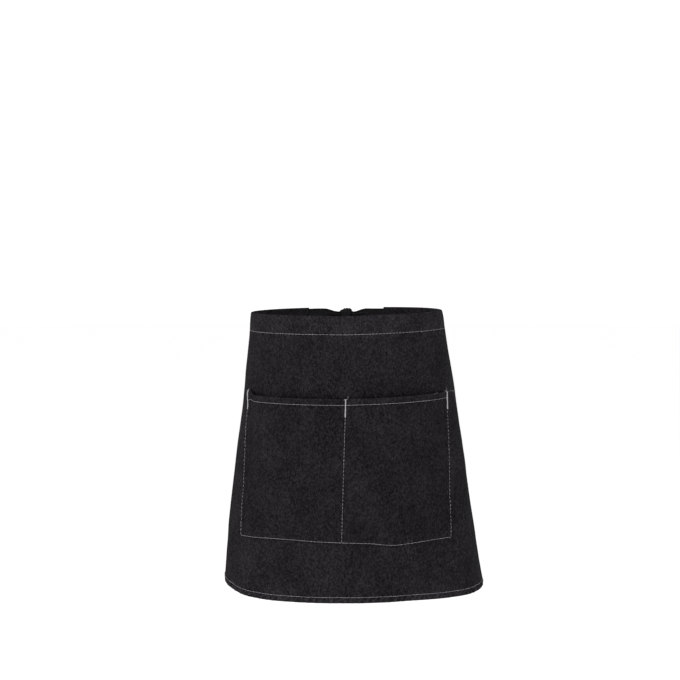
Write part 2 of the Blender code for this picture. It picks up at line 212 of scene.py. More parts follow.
def travelled(line: Array) -> Array:
    """Distance along a line of points, at each point."""
    return np.concatenate([[0.0], np.cumsum(np.linalg.norm(np.diff(line, axis=0), axis=-1))])


def flat_places(across: Array, along: Array) -> Array:
    """Places on the flat cloth, one row of two numbers for each point."""
    return np.stack(together(across, along), axis=-1).reshape(-1, 2)


def stops(*runs: Triple) -> Array:
    """Places along joined runs, each given as start, end and the longest spacing."""
    parts = [
        np.linspace(start, end, max(1, int(np.ceil((end - start) / longest - 1e-9))), endpoint=False)
        for start, end, longest in runs
    ]
    return np.concatenate(parts + [[runs[-1][1]]])


def mirrored(right: Array) -> Array:
    """Places from left to right, from those of the right half, the first of which is 0."""
    return np.concatenate([-right[:0:-1], right])


def runs_past(
    start: float, place: float, near: Pair, end: float, spacing: Triple
) -> list[Triple]:
    """Three joined runs of places, whose middle one crosses a step in the cloth's thickness.

    Args:
        start: where the first run starts.
        place: where the step lies.
        near: where the middle run starts and ends, counted from the step.
        end: where the last run ends.
        spacing: the longest spacing of each run.

    Returns:
        Start, end and longest spacing of each run.
    """
    first, last = place + near[0], place + near[1]
    return [(start, first, spacing[0]), (first, last, spacing[1]), (last, end, spacing[2])]


def side_by_side(rows: int, *parts: Array) -> Array:
    """The parts next to each other, each with the given number of rows."""
    return np.concatenate([part + np.zeros((rows, 1)) for part in parts], axis=1)


def ripple(u: Array, v: Array, long_u: float, long_v: float, seed: int, count: int = 14) -> Array:
    """Smooth irregular height of about unit size: a sum of cosine waves of random direction and phase.

    Args:
        u: distance across.
        v: distance down.
        long_u: typical wavelength across.
        long_v: typical wavelength down.
        seed: picks the waves.
        count: how many waves are added.

    Returns:
        The sum of the waves over the square root of half their number.
    """
    random = np.random.default_rng(seed)
    turn = random.uniform(0, np.pi, count)
    pitch = random.uniform(*WAVE_SIZES, count)
    phase = random.uniform(0, 2 * np.pi, count)
    height = np.zeros(np.broadcast(u, v).shape)
    for angle, size, start in zip(turn, pitch, phase):
        way = np.cos(angle) * u / long_u + np.sin(angle) * v / long_v
        height = height + np.cos(2 * np.pi * size * way + start)
    return height / np.sqrt(count / 2)


@dataclass(frozen=True)
class Drape:
    """The surface on which every piece of cloth lies, with the sizes that give the form it takes on the body.
    """

    half: float = 0.350
    length: float = 0.450
    waist_half_width: float = 0.1552
    waist_front: float = 0.107
    waist_back: float = 0.105
    hem_left: float = 0.192
    hem_right: float = 0.233
    hem_front: float = 0.145
    hem_back: float = 0.150
    hem_shift: float = -0.0093
    waist_lift: float = 0.0040
    hem_lift: float = 0.0105
    fold_depth: float = 0.0060
    cloth: float = 0.0010
    tape_width: float = 0.025
    tape: float = 0.0012
    tape_hidden: float = 0.035
    tunnel_ease: float = 0.00075
    casing_seam: float = 0.0035
    gap: float = 0.0003
    tiny: float = 1e-4
    newton_rounds: int = 4

    @property
    def face(self) -> float:
        """Half the cloth's thickness."""
        return self.cloth / 2

    @property
    def tunnel(self) -> float:
        """Clear depth of the casing, for the tape and a gap on each side."""
        return self.tape + 2 * self.gap

    @property
    def tunnel_foot(self) -> float:
        """How far down the casing is open inside."""
        return self.cloth + self.tape_width + 2 * self.tunnel_ease

    @property
    def casing_depth(self) -> float:
        """How far down the casing's turned edge lies."""
        return self.tunnel_foot + self.casing_seam

    @property
    def tape_line(self) -> float:
        """How far down the tape's middle lies."""
        return self.cloth + self.tunnel_ease + self.tape_width / 2

    @property
    def tape_offset(self) -> float:
        """Where the tape's middle lies, counted out from the cloth's middle."""
        return -(self.face + self.tunnel / 2)

    @property
    def fall(self) -> float:
        """Drop in height for each metre of cloth, given how far the hem stands out."""
        slope = ((self.hem_front - self.waist_front) ** 2 + self.hem_shift**2) / self.length**2
        return float(np.sqrt(1 - slope))

    def level(self, down: Array, name: str, at_waist: float, at_hem: float) -> Array:
        """A measure at the share down of the length: its waist size plus a share of what it gains."""
        return at_waist + (at_hem - at_waist) * smooth(down, column(LEVELS, "down"), column(LEVELS, name))

    def arc_length(self, angle: Array, wide: Array, deep: Array) -> Array:
        """Length of the arc x = wide sin, y = deep cos from 0 to the angle, by Gauss's rule of 8 points."""
        nodes, weights = np.polynomial.legendre.leggauss(8)
        t = 0.5 * angle[..., None] * (nodes + 1)
        speed = np.sqrt((wide[..., None] * np.cos(t)) ** 2 + (deep[..., None] * np.sin(t)) ** 2)
        return 0.5 * angle * (speed * weights).sum(axis=-1)

    def arc_angle(self, length: Array, wide: Array, deep: Array) -> Array:
        """Angle at which the same arc has the given length, by Newton's rule."""
        angle = length / (0.5 * (wide + deep))
        for _ in range(self.newton_rounds):
            speed = np.sqrt((wide * np.cos(angle)) ** 2 + (deep * np.sin(angle)) ** 2)
            angle = angle - (self.arc_length(angle, wide, deep) - length) / speed
        return angle

    def fold_height(self, u: Array, down: Array) -> Array:
        """How far the soft folds push the cloth out: one bell curve for each row of FOLDS."""
        height = np.zeros_like(u)
        for fold in FOLDS:
            line = fold.place + fold.lean * (1 - down)
            depth = fold.waist * (1 - down) + fold.hem * down**2
            height = height + self.fold_depth * depth * bell(u / self.half - line, fold.width)
        return height

    def draped(self, u: Array, v: Array) -> Array:
        """Point of the surface without its folds.

        In plan each side of the centre thread is a quarter of an ellipse at the front and a quarter of
        another at the back, and u is the length along them. The height falls evenly with v, and two
        smooth lifts raise the sides.
        """
        u, v = together(u, v)
        down = v / self.length
        at_left = u < 0
        wide = np.where(
            at_left,
            self.level(down, "left", self.waist_half_width, self.hem_left),
            self.level(down, "right", self.waist_half_width, self.hem_right),
        )
        front = self.level(down, "front", self.waist_front, self.hem_front)
        back = self.level(down, "back", self.waist_back, self.hem_back)
        along = np.abs(u)
        quarter = self.arc_length(np.full_like(u, np.pi / 2), wide, front)
        ahead = self.arc_angle(np.minimum(along, quarter), wide, front)
        behind = self.arc_angle(np.maximum(along - quarter, 0), back, wide)
        in_front = along <= quarter
        x = wide * np.where(in_front, np.sin(ahead), np.cos(behind))
        y = np.where(in_front, -front * np.cos(ahead), back * np.sin(behind))
        z = self.casing_depth / 2 - v * self.fall + self.lift(u, down, at_left)
        centre = self.level(down, "shift", 0, self.hem_shift)
        return np.stack([centre + np.where(at_left, -x, x), y, z], axis=-1)

    def lift(self, u: Array, down: Array, at_left: Array) -> Array:
        """How far the thread at u is raised: its waist lift fades by the tilt, its hem lift grows squared."""
        out = np.abs(u) / self.half
        places = column(RISES, "out")
        names = ("waist_left", "waist_right", "hem_left", "hem_right")
        rises = [smooth(out, places, column(RISES, name)) for name in names]
        at_waist = np.where(at_left, rises[0], rises[1]) * self.level(down, "tilt", 0, 1)
        at_hem = np.where(at_left, rises[2], rises[3]) * down**2
        return self.waist_lift * at_waist + self.hem_lift * at_hem

    def outward(self, place: Surface, u: Array, v: Array) -> Array:
        """Unit vector out of the surface place(u, v): the slope down it crossed with the slope along it."""
        across = place(u + self.tiny, v) - place(u - self.tiny, v)
        downward = place(u, v + self.tiny) - place(u, v - self.tiny)
        return unit(np.cross(downward, across))

    def folded(self, u: Array, v: Array) -> Array:
        """Point in the middle of the cloth: the draped surface pushed out by its soft folds."""
        u, v = together(u, v)
        height = self.fold_height(u, v / self.length)
        return self.draped(u, v) + height[..., None] * self.outward(self.draped, u, v)

    def point(self, u: Array, v: Array, n: Array) -> Array:
        """Point at the distance n out from the middle of the cloth, worked out exactly."""
        u, v, n = together(u, v, n)
        return self.folded(u, v) + n[..., None] * self.outward(self.folded, u, v)


class Cloth:
    """The draped surface read from a fine grid, with the small relief that every layer of cloth shares."""

    SPACING = 0.0015
    MARGIN = 0.012
    SHORT_OF_END = 1.001
    SLOW_WAVE = (0.070, 0.150)
    SLOW_HEIGHT = 0.00055
    FINE_WAVE = (0.022, 0.055)
    FINE_HEIGHT = 0.00012
    TOP_FADE = 0.060

    def __init__(self, drape: Drape) -> None:
        """Work the surface out once on its grid.

        Args:
            drape: the sizes of the surface.
        """
        self.drape = drape
        self.start = np.array([-drape.half - self.MARGIN, -self.MARGIN])
        self.u = np.arange(self.start[0], drape.half + self.MARGIN, self.SPACING)
        self.v = np.arange(self.start[1], drape.length + self.MARGIN, self.SPACING)
        self.place = drape.folded(self.u[:, None], self.v[None, :])
        along, down = np.gradient(self.place, self.SPACING, axis=(0, 1))
        self.out = unit(np.cross(down, along))

    def read(self, values: Array, u: Array, v: Array) -> Array:
        """Value between the grid's points, by straight lines across and down."""
        s = np.clip((u - self.start[0]) / self.SPACING, 0, len(self.u) - self.SHORT_OF_END)
        t = np.clip((v - self.start[1]) / self.SPACING, 0, len(self.v) - self.SHORT_OF_END)
        i = s.astype(int)
        j = t.astype(int)
        s = (s - i)[..., None]
        t = (t - j)[..., None]
        near = values[i, j] * (1 - t) + values[i, j + 1] * t
        far = values[i + 1, j] * (1 - t) + values[i + 1, j + 1] * t
        return near * (1 - s) + far * s

    def point(self, u: Array, v: Array, n: Array) -> Array:
        """Point at the distance n out from the middle of the cloth."""
        u, v, n = together(u, v, n)
        return self.read(self.place, u, v) + n[..., None] * self.normal(u, v)

    def normal(self, u: Array, v: Array) -> Array:
        """Unit vector out of the cloth."""
        return unit(self.read(self.out, *together(u, v)))

    def relief(self, u: Array, v: Array) -> Array:
        """Gentle unevenness of hanging cloth: slow waves that stand taller than wide, and finer ones."""
        slow = self.SLOW_HEIGHT * ripple(u, v, *self.SLOW_WAVE, seed=11)
        fine = self.FINE_HEIGHT * ripple(u, v, *self.FINE_WAVE, seed=12)
        return (slow + fine) * step(v, 0.0, self.TOP_FADE)


@dataclass
class Shape:
    """Points, faces and values of a surface before it becomes an object.

    Attributes:
        points: one row of x, y and z for each point.
        faces: arrays of point numbers, one row a face.
        uv: one place on the flat cloth, in metres, for each point.
        values: further named numbers, one for each point.
    """

    points: Array
    faces: list[Indices]
    uv: Array
    values: dict[str, Array] = field(default_factory=dict)

    def volume(self) -> float:
        """Signed volume: a sixth of the sum of triple products over each face's fan of triangles."""
        total = 0.0
        for group in self.faces:
            first = self.points[group[:, 0]]
            for k in range(1, group.shape[1] - 1):
                second = self.points[group[:, k]]
                third = self.points[group[:, k + 1]]
                total += float((first * np.cross(second, third)).sum()) / 6
        return total

    def object(self, name: str, material: Material, smooth_angle: float = 40.0) -> Object:
        """Make the object, with its faces outwards.

        Args:
            name: the piece's name.
            material: its finish.
            smooth_angle: edges sharper than this many degrees stay sharp.

        Returns:
            The new object, which stands at the origin.
        """
        faces = self.faces
        if self.volume() < 0:
            faces = [group[:, ::-1] for group in faces]
        corners = np.concatenate([group.ravel() for group in faces])
        sizes = np.concatenate([np.full(len(group), group.shape[1]) for group in faces])
        mesh = bpy.data.meshes.new(name)
        mesh.vertices.add(len(self.points))
        mesh.vertices.foreach_set("co", self.points.astype(np.float32).ravel())
        mesh.loops.add(len(corners))
        mesh.loops.foreach_set("vertex_index", corners.astype(np.int32))
        mesh.polygons.add(len(sizes))
        mesh.polygons.foreach_set("loop_start", (np.cumsum(sizes) - sizes).astype(np.int32))
        mesh.update(calc_edges=True)
        layer = mesh.uv_layers.new(name=UV_NAME)
        layer.data.foreach_set("uv", self.uv[corners].astype(np.float32).ravel())
        for title, numbers in self.values.items():
            attribute = mesh.attributes.new(title, "FLOAT", "POINT")
            attribute.data.foreach_set("value", numbers.astype(np.float32))
        mesh.materials.append(material)
        mesh.shade_smooth()
        mesh.set_sharp_from_angle(angle=np.radians(smooth_angle))
        return linked(name, mesh)


def band(rings: int, loop: Indices, around: int) -> Indices:
    """Quads between neighbouring rings of points, along a closed walk over each ring's points.

    Args:
        rings: how many rings there are.
        loop: the points of a ring in the order of the walk.
        around: how many points each ring has.

    Returns:
        One row of four point numbers for each quad.
    """
    start = np.arange(rings - 1)[:, None] * around
    here = start + loop[None, :]
    after = start + np.roll(loop, -1)[None, :]
    return np.stack([here, after, after + around, here + around], axis=-1).reshape(-1, 4)


def ladder(first: Indices, second: Indices) -> Indices:
    """Quads between two rows of points of one ring."""
    return np.stack([first[:-1], first[1:], second[1:], second[:-1]], axis=-1)


def closed_walk(rings: int, around: int) -> list[Indices]:
    """Faces of a flat tube of rings, whose first and last rings are closed by quads between their halves.

    Args:
        rings: how many rings there are.
        around: how many points each ring has, half of them on each side.

    Returns:
        The tube's quads, and those of its two ends.
    """
    loop = np.arange(around)
    caps = ladder(loop[: around // 2], loop[around // 2 :][::-1])
    return [band(rings, loop, around), caps[:, ::-1], caps + (rings - 1) * around]


def rounding(distance: Array, radius: float) -> Array:
    """Share of its thickness that a wall keeps near a rounded edge: the height of a quarter circle."""
    near = np.clip(1 - distance / radius, 0, EDGE_LIMIT)
    return np.sqrt(1 - near**2)


def edge_stops(radius: float) -> Array:
    """Distances from a rounded edge at even turns of its quarter circle."""
    return radius * (1 - np.cos(np.radians(EDGE_TURNS)))


def up_to_edge(size: float, radius: float, *runs: Triple) -> Array:
    """Places along joined runs and on over a rounded edge that ends at the given size."""
    return np.concatenate([stops(*runs)[:-1], size - edge_stops(radius)[::-1]])


def linked(name: str, data: bpy.types.ID) -> Object:
    """A new object in the scene, at the origin."""
    made = bpy.data.objects.new(name, data)
    bpy.context.collection.objects.link(made)
    return made


class Graph:
    """A material and short calls that add and link its nodes."""

    STAGGER = 0.618

    def __init__(self, name: str) -> None:
        """Start a material with its Principled shader."""
        self.material = bpy.data.materials.new(name)
        self.material.use_nodes = True
        self.tree = self.material.node_tree
        self.shader = self.tree.nodes["Principled BSDF"]

    def node(self, kind: str, inputs: dict[str | int, object] | None = None, **settings: object) -> Node:
        """Add a node.

        Args:
            kind: the node's type, without the words ShaderNode.
            inputs: values or sockets for its inputs, by name or number.
            settings: its own properties.

        Returns:
            The new node.
        """
        made = self.tree.nodes.new("ShaderNode" + kind)
        for title, value in settings.items():
            setattr(made, title, value)
        for title, value in (inputs or {}).items():
            self.feed(made.inputs[title], value)
        return made

    def feed(self, socket: Socket, value: object) -> None:
        """Link a socket to an input, or set the input's value."""
        if isinstance(value, bpy.types.NodeSocket):
            self.tree.links.new(value, socket)
        else:
            socket.default_value = value

    def math(self, operation: str, first: object, second: object = 0.0) -> Socket:
        """One step of arithmetic on values or sockets."""
        return self.node("Math", {0: first, 1: second}, operation=operation).outputs[0]

    def noise(self, place: Socket, size: Pair, detail: float = 2.0, rough: float = 0.5) -> Socket:
        """Noise from -1 to 1 whose features are about size metres across and down the cloth."""
        scale = (1 / size[0], 1 / size[1], 1.0)
        mapping = self.node("Mapping", {"Vector": place, "Scale": scale}, vector_type="POINT")
        settings = {"Vector": mapping.outputs[0], "Scale": 1.0, "Detail": detail, "Roughness": rough}
        pattern = self.node("TexNoise", settings)
        return self.math("MULTIPLY", self.math("SUBTRACT", pattern.outputs[0], 0.5), 2.0)

    def yarns(self, place: Socket, size: Pair, bend: Socket) -> Socket:
        """Random values from -1 to 1, one for each cell, in strips whose cells start at staggered heights.

        The strip is the whole part of the place across over the width. The cell is the whole part of the
        place down over the length, plus the strip's start, which is its number times the stagger, less
        whole cells.

        Args:
            place: the place on the cloth.
            size: width and length of a cell.
            bend: how many cells the edges are pushed askew.

        Returns:
            The random value.
        """
        across, down = self.split(place)
        strip = self.math("FLOOR", self.math("ADD", self.math("DIVIDE", across, size[0]), bend))
        start = self.math("FRACT", self.math("MULTIPLY", strip, self.STAGGER))
        run = self.math("ADD", self.math("DIVIDE", down, size[1]), self.math("ADD", start, bend))
        cell = self.node("CombineXYZ", {0: strip, 1: self.math("FLOOR", run)})
        chance = self.node("TexWhiteNoise", {"Vector": cell.outputs[0]}, noise_dimensions="2D")
        return self.math("SUBTRACT", self.math("MULTIPLY", chance.outputs["Value"], 2.0), 1.0)

    def split(self, place: Socket) -> tuple[Socket, Socket]:
        """The first two parts of a place."""
        parts = self.node("SeparateXYZ", {0: place})
        return parts.outputs[0], parts.outputs[1]

    def cloth_place(self) -> Socket:
        """The place on the flat cloth, from the piece's own map."""
        return self.node("UVMap", uv_map=UV_NAME).outputs[0]

    def attribute(self, name: str) -> Socket:
        """One of the piece's named numbers."""
        return self.node("Attribute", attribute_name=name, attribute_type="GEOMETRY").outputs["Fac"]

    def diagonal(self, place: Socket, pitch: Pair) -> Socket:
        """Slanting ridges from -1 to 1: the sine of the place across and down, each over its pitch."""
        across, down = self.split(place)
        return self.math("SINE", self.total((across, 2 * np.pi / pitch[0]), (down, 2 * np.pi / pitch[1])))

    def total(self, *terms: tuple[Socket, float]) -> Socket:
        """Sum of sockets, each times its weight."""
        result = self.math("MULTIPLY", terms[0][0], terms[0][1])
        for socket, weight in terms[1:]:
            result = self.math("ADD", result, self.math("MULTIPLY", socket, weight))
        return result

    def tinted(self, colour: Triple, factor: Socket) -> Socket:
        """The colour times a factor."""
        return self.node("VectorMath", {0: colour, "Scale": factor}, operation="SCALE").outputs[0]

    def finish(
        self, colour: Socket, height: Socket, depth: float, roughness: float, gloss: float
    ) -> Material:
        """Join colour and relief to the shader, and set its plain values.

        Args:
            colour: the base colour.
            height: relief from about -1 to 1.
            depth: how many metres of relief one unit of height is.
            roughness: the surface's roughness.
            gloss: the specular level.

        Returns:
            The finished material.
        """
        bump = self.node("Bump", {"Height": height, "Distance": depth, "Strength": 1.0})
        self.feed(self.shader.inputs["Base Color"], colour)
        self.feed(self.shader.inputs["Normal"], bump.outputs[0])
        self.shader.inputs["Roughness"].default_value = roughness
        self.shader.inputs["Specular IOR Level"].default_value = gloss
        return self.material


@dataclass(frozen=True)
class Denim:
    """Near-black twill whose darker and paler threads run down the cloth.

    The shade is a weighted sum of noises: slubs, specks, slow clouds, single yarns, tufts of yarn and
    the twill's diagonals, plus painted light and shade from the piece's attribute: painted highlight
    with wear where the cloth stands up, painted light on the turned bands, painted shade along the
    stitches and under and inside the pocket. The colour is multiplied by the display's power, 2.2, of
    the shade over 2.2 plus one, so that the shade is even to the eye.
    """

    name: str
    colour: Triple
    roughness: float = 0.94
    gloss: float = 0.06
    slub_size: Pair = (0.0034, 0.0075)
    speck_size: Pair = (0.0026, 0.0030)
    cloud_size: Pair = (0.050, 0.070)
    tuft_size: Pair = (0.0019, 0.0024)
    yarn_size: Pair = (0.0006, 0.0026)
    twill_pitch: Pair = (0.0009, 0.0016)
    slub: float = 0.45
    speck: float = 0.70
    cloud: float = 0.80
    tuft: float = 0.55
    yarn: float = 0.45
    bend: float = 0.6
    twill: float = 0.15
    twill_relief: float = 0.8
    balance: float = 0.88
    power: float = 2.2
    # weight of the painted light and shade, with wear, read from the piece's attribute
    lit_and_worn: float = 0.30
    bump: float = 0.00006

    def make(self) -> Material:
        """Make the material.

        Returns:
            The finished material.
        """
        graph = Graph(self.name)
        place = graph.cloth_place()
        slub = graph.noise(place, self.slub_size, detail=3.0)
        speck = graph.noise(place, self.speck_size, detail=3.0, rough=0.7)
        cloud = graph.noise(place, self.cloud_size, detail=5.0, rough=0.6)
        bend = graph.math("MULTIPLY", speck, self.bend)
        twill = graph.diagonal(place, self.twill_pitch)
        shade = graph.total(
            (slub, self.slub),
            (speck, self.speck),
            (cloud, self.cloud),
            (graph.yarns(place, self.tuft_size, bend), self.tuft),
            (graph.yarns(place, self.yarn_size, bend), self.yarn),
            (twill, self.twill),
            # painted highlight, light and shade, with wear, from the piece's attribute
            (graph.attribute("painted_light_and_wear"), self.lit_and_worn),
        )
        root = graph.math("MAXIMUM", graph.math("ADD", graph.math("DIVIDE", shade, self.power), 1.0), 0.0)
        factor = graph.math("MULTIPLY", graph.math("POWER", root, self.power), self.balance)
        height = graph.total((slub, 1.0), (speck, 1.0), (twill, self.twill_relief))
        return graph.finish(graph.tinted(self.colour, factor), height, self.bump, self.roughness, self.gloss)


@dataclass(frozen=True)
class TapeWeave:
    """Black cotton tape in a herringbone: diagonals that turn back every few threads across it.

    The shade is a weighted sum of the weave, its columns, specks, clouds and the darker selvedge, and
    the colour is multiplied by e to its power.
    """

    name: str = "tape"
    colour: Triple = (0.0150, 0.0138, 0.0156)
    roughness: float = 0.9
    gloss: float = 0.15
    chevron: float = 0.0062
    pitch: float = 0.0016
    selvedge: float = 0.0112
    speck_size: Pair = (0.0020, 0.0034)
    cloud_size: Pair = (0.012, 0.030)
    weave: float = 0.16
    columns: float = 0.12
    speck: float = 0.95
    cloud: float = 0.35
    edge: float = -0.35
    speck_relief: float = 0.6
    edge_relief: float = 0.8
    bump: float = 0.00012

    def make(self) -> Material:
        """Make the material: a sine of the place along the tape plus the folded place across it."""
        graph = Graph(self.name)
        place = graph.cloth_place()
        across, along = graph.split(place)
        folded = graph.math("PINGPONG", across, self.chevron / 2)
        turn = graph.math("MULTIPLY", graph.math("ADD", folded, along), 2 * np.pi / self.pitch)
        weave = graph.math("SINE", turn)
        edge = graph.math("GREATER_THAN", graph.math("ABSOLUTE", across), self.selvedge)
        speck = graph.noise(place, self.speck_size)
        shade = graph.total(
            (weave, self.weave),
            (graph.math("SINE", graph.math("MULTIPLY", across, 2 * np.pi / self.chevron)), self.columns),
            (speck, self.speck),
            (graph.noise(place, self.cloud_size), self.cloud),
            (edge, self.edge),
        )
        colour = graph.tinted(self.colour, graph.math("EXPONENT", shade))
        height = graph.total((weave, 1.0), (speck, self.speck_relief), (edge, self.edge_relief))
        return graph.finish(colour, height, self.bump, self.roughness, self.gloss)


@dataclass(frozen=True)
class Thread:
    """Off-white sewing thread of twisted plies, a little different from stitch to stitch."""

    name: str = "thread"
    colour: Triple = (0.52, 0.51, 0.53)
    roughness: float = 0.8
    gloss: float = 0.2
    twist: float = 0.0010
    balance: float = 0.95
    plies: float = 0.10
    tone: float = 0.22
    bump: float = 0.00004

    def make(self) -> Material:
        """Make the material: a sine of the place along the thread plus the turn round it."""
        graph = Graph(self.name)
        across, along = graph.split(graph.cloth_place())
        turn = graph.math("ADD", graph.math("MULTIPLY", across, self.twist), along)
        plies = graph.math("SINE", graph.math("MULTIPLY", turn, 2 * np.pi / self.twist))
        shade = graph.total((plies, self.plies), (graph.attribute("tone"), self.tone))
        colour = graph.tinted(self.colour, graph.math("ADD", shade, self.balance))
        return graph.finish(colour, plies, self.bump, self.roughness, self.gloss)


class Side(Enum):
    """Which face of the cloth a row of stitches is seen on."""

    FRONT = 1.0
    BACK = -1.0


@dataclass
class Panel:
    """The panel: one cloth with an open casing turned over at its top, hemmed at its foot and sides."""

    cloth: Cloth
    finish: Material
    foot_hem: float = 0.0105
    side_hem: float = 0.0100
    hem_layers: float = 2.6
    hem_step: float = 0.0004
    hem_puff: float = 0.00025
    hem_puff_rise: float = 0.003
    foot_stitch: float = 0.0093
    side_stitch: float = 0.0085
    casing_stitch: float = 0.0015
    rope_pitch: float = 0.0095
    rope_depth: float = 0.00035
    rope_wander: float = 1.3
    rope_wander_length: float = 0.060
    rope_slant: float = 0.9
    rope_rise: Pair = (-0.004, 0.0025)
    pucker_pitch: float = 0.0085
    pucker_length: float = 0.050
    pucker_depth: float = 0.00028
    pucker_width: float = 0.006
    foot_pucker: float = 0.8
    foot_pucker_width: float = 0.007
    foot_pucker_start: Pair = (0.3, 0.4)
    groove_depth: float = 0.00026
    groove_width: float = 0.0007
    groove_behind: float = 0.5
    closing_start: float = 0.004
    closing_end: float = 0.001
    casing_puff: float = 0.0007
    casing_puff_behind: float = -0.4
    casing_puff_play: float = 0.25
    casing_puff_length: float = 0.045
    # weights of painted light and shade, with wear, in the cloth's colour: the casing and hem bands, the
    # fold, ropes, puckers, the stitches' grooves and the shadow under the pocket's mouth
    casing_light: float = 0.75
    casing_light_end: Pair = (-0.0015, 0.0005)
    hem_pale: float = 0.75
    hem_pale_rise: float = 0.0015
    fold_pale: float = 0.3
    fold_pale_width: float = 0.0016
    rope_pale: float = 1.3
    pucker_pale: float = 0.5
    groove_shade: float = 0.8
    mouth_shadow: float = 3.5
    cover_top: Pair = (-0.0020, 0.0002)
    cover_foot: Pair = (0.15, 0.20)
    cover_side: Pair = (-0.004, -0.001)
    near_side_hem: Pair = (-0.001, 0.001)
    near_foot_hem: Pair = (-0.003, 0.001)
    spacing_across: Triple = (0.0022, 0.0005, 0.0018)
    spacing_down: Triple = (0.0049, 0.0007, 0.0012)
    casing_spacing: float = 0.0015
    fold_points: int = 9
    turned_down: tuple[float, ...] = (-0.0012, -0.0004, 0.0001, 0.0002)
    turned_out: tuple[float, ...] = (2.0, 1.95, 1.6, 0.8)

    @property
    def drape(self) -> Drape:
        """The sizes of the surface."""
        return self.cloth.drape

    @property
    def casing_line(self) -> float:
        """How far down the casing's stitches lie."""
        return self.drape.casing_depth - self.casing_stitch

    @property
    def foot_line(self) -> float:
        """How far down the hem's stitches lie."""
        return self.drape.length - self.foot_stitch

    @property
    def hem_top(self) -> float:
        """How far down the foot hem starts."""
        return self.drape.length - self.foot_hem

    @property
    def hem_side(self) -> float:
        """How far out the side hems start."""
        return self.drape.half - self.side_hem

    @property
    def edge(self) -> float:
        """Radius of the rounded edges: half the hem's thickness."""
        return self.hem_layers * self.drape.cloth / 2

    def rope(self, u: Array, v: Array) -> Array:
        """Roping of the foot hem, from -1 to 1: slanting ridges where the turned cloth pulls askew."""
        wander = self.rope_wander * ripple(u, 0.0, self.rope_wander_length, 1.0, seed=31)
        slant = u + self.rope_slant * (v - self.drape.length)
        inside = step(v - self.foot_line, *self.rope_rise)
        return np.cos(2 * np.pi * slant / self.rope_pitch + wander) * inside

    def pucker(self, u: Array, v: Array) -> Array:
        """Puckers along the casing's and the hem's stitches, from about -1 to 1."""
        waves = ripple(u, v, self.pucker_pitch, self.pucker_length, seed=32)
        near_foot = bell(np.minimum(v - self.foot_line, 0), self.foot_pucker_width)
        near_foot = self.foot_pucker * near_foot * step(v, *self.foot_pucker_start)
        return waves * (bell(v - self.casing_line, self.pucker_width) + near_foot)

    def side_pucker(self, u: Array, v: Array) -> Array:
        """Puckers along the side hems' stitches, from about -1 to 1."""
        inset = self.drape.half - np.abs(u)
        waves = ripple(v, u, self.pucker_pitch, self.pucker_length, seed=33)
        return waves * bell(inset - self.side_stitch, self.pucker_width)

    def relief(self, u: Array, v: Array) -> Array:
        """How far both faces stand out of the smooth surface."""
        puckers = self.pucker(u, v) + self.side_pucker(u, v)
        return self.cloth.relief(u, v) + self.rope_depth * self.rope(u, v) + self.pucker_depth * puckers

    def groove(self, u: Array, v: Array) -> Array:
        """How far the stitches draw a face in."""
        inset = self.drape.half - np.abs(u)
        lines = (v - self.foot_line, inset - self.side_stitch, v - self.casing_line)
        return self.groove_depth * sum(bell(line, self.groove_width) for line in lines)

    def front(self, u: Array, v: Array) -> Array:
        """Distance of the outer face from the cloth's middle surface."""
        puff = self.hem_puff * step(v - self.foot_line, 0.0, self.hem_puff_rise)
        return self.drape.face + self.relief(u, v) + puff - self.groove(u, v)

    def back(self, u: Array, v: Array) -> Array:
        """Distance of the inner face from the cloth's middle surface, which drops at the hems."""
        at_foot = step(v - self.hem_top, -self.hem_step, self.hem_step)
        at_side = step(np.abs(u) - self.hem_side, -self.hem_step, self.hem_step)
        thick = self.drape.cloth * (self.hem_layers - 1) * np.maximum(at_foot, at_side)
        return -self.drape.face - thick + self.relief(u, v) + self.groove_behind * self.groove(u, v)

    def casing_back(self, v: Array) -> Array:
        """Distance of the casing's hidden outer face: it closes from the tunnel's foot to its turned edge."""
        drape = self.drape
        deep = drape.face + drape.tunnel + drape.cloth
        flat = drape.face + 2 * drape.cloth
        closed = step(v, drape.tunnel_foot - self.closing_start, drape.casing_depth - self.closing_end)
        return -deep + (deep - flat) * closed

    def painted_light_and_wear(self, u: Array, v: Array) -> Array:
        """Painted light and shade, with wear: painted highlight with wear on ropes, puckers, the top fold and
        the hem, painted light on the casing, painted shade along the stitches.
        """
        # painted highlight with wear along the top fold
        fold = self.fold_pale * bell(v, self.fold_pale_width)
        # painted light: the turned casing's band is drawn paler, as if lit from above
        casing = self.casing_light * (1 - step(v - self.casing_line, *self.casing_light_end))
        # painted highlight with wear on the foot hem's band
        hem = self.hem_pale * step(v - self.foot_line, 0.0, self.hem_pale_rise)
        # painted shade in the grooves that the stitches draw in
        lines = self.groove_shade * self.groove(u, v) / self.groove_depth
        # painted highlight with wear on the raised ropes and puckers, painted shade in their dips
        raised = self.rope_pale * self.rope(u, v) + self.pucker_pale * self.pucker(u, v)
        return raised + fold + casing + hem - lines

    def behind(self, u: Array, v: Array) -> Array:
        """Where the pocket's mouth covers the panel, from 0 to 1: there the panel gets a painted shadow."""
        top = POCKET_TOP - CORNER_LIFT * bell(u + POCKET_HALF, CORNER_REACH)
        inside = step(v - top, *self.cover_top) * (1 - step(v - POCKET_TOP, *self.cover_foot))
        return inside * (1 - step(np.abs(u) - POCKET_HALF, *self.cover_side))

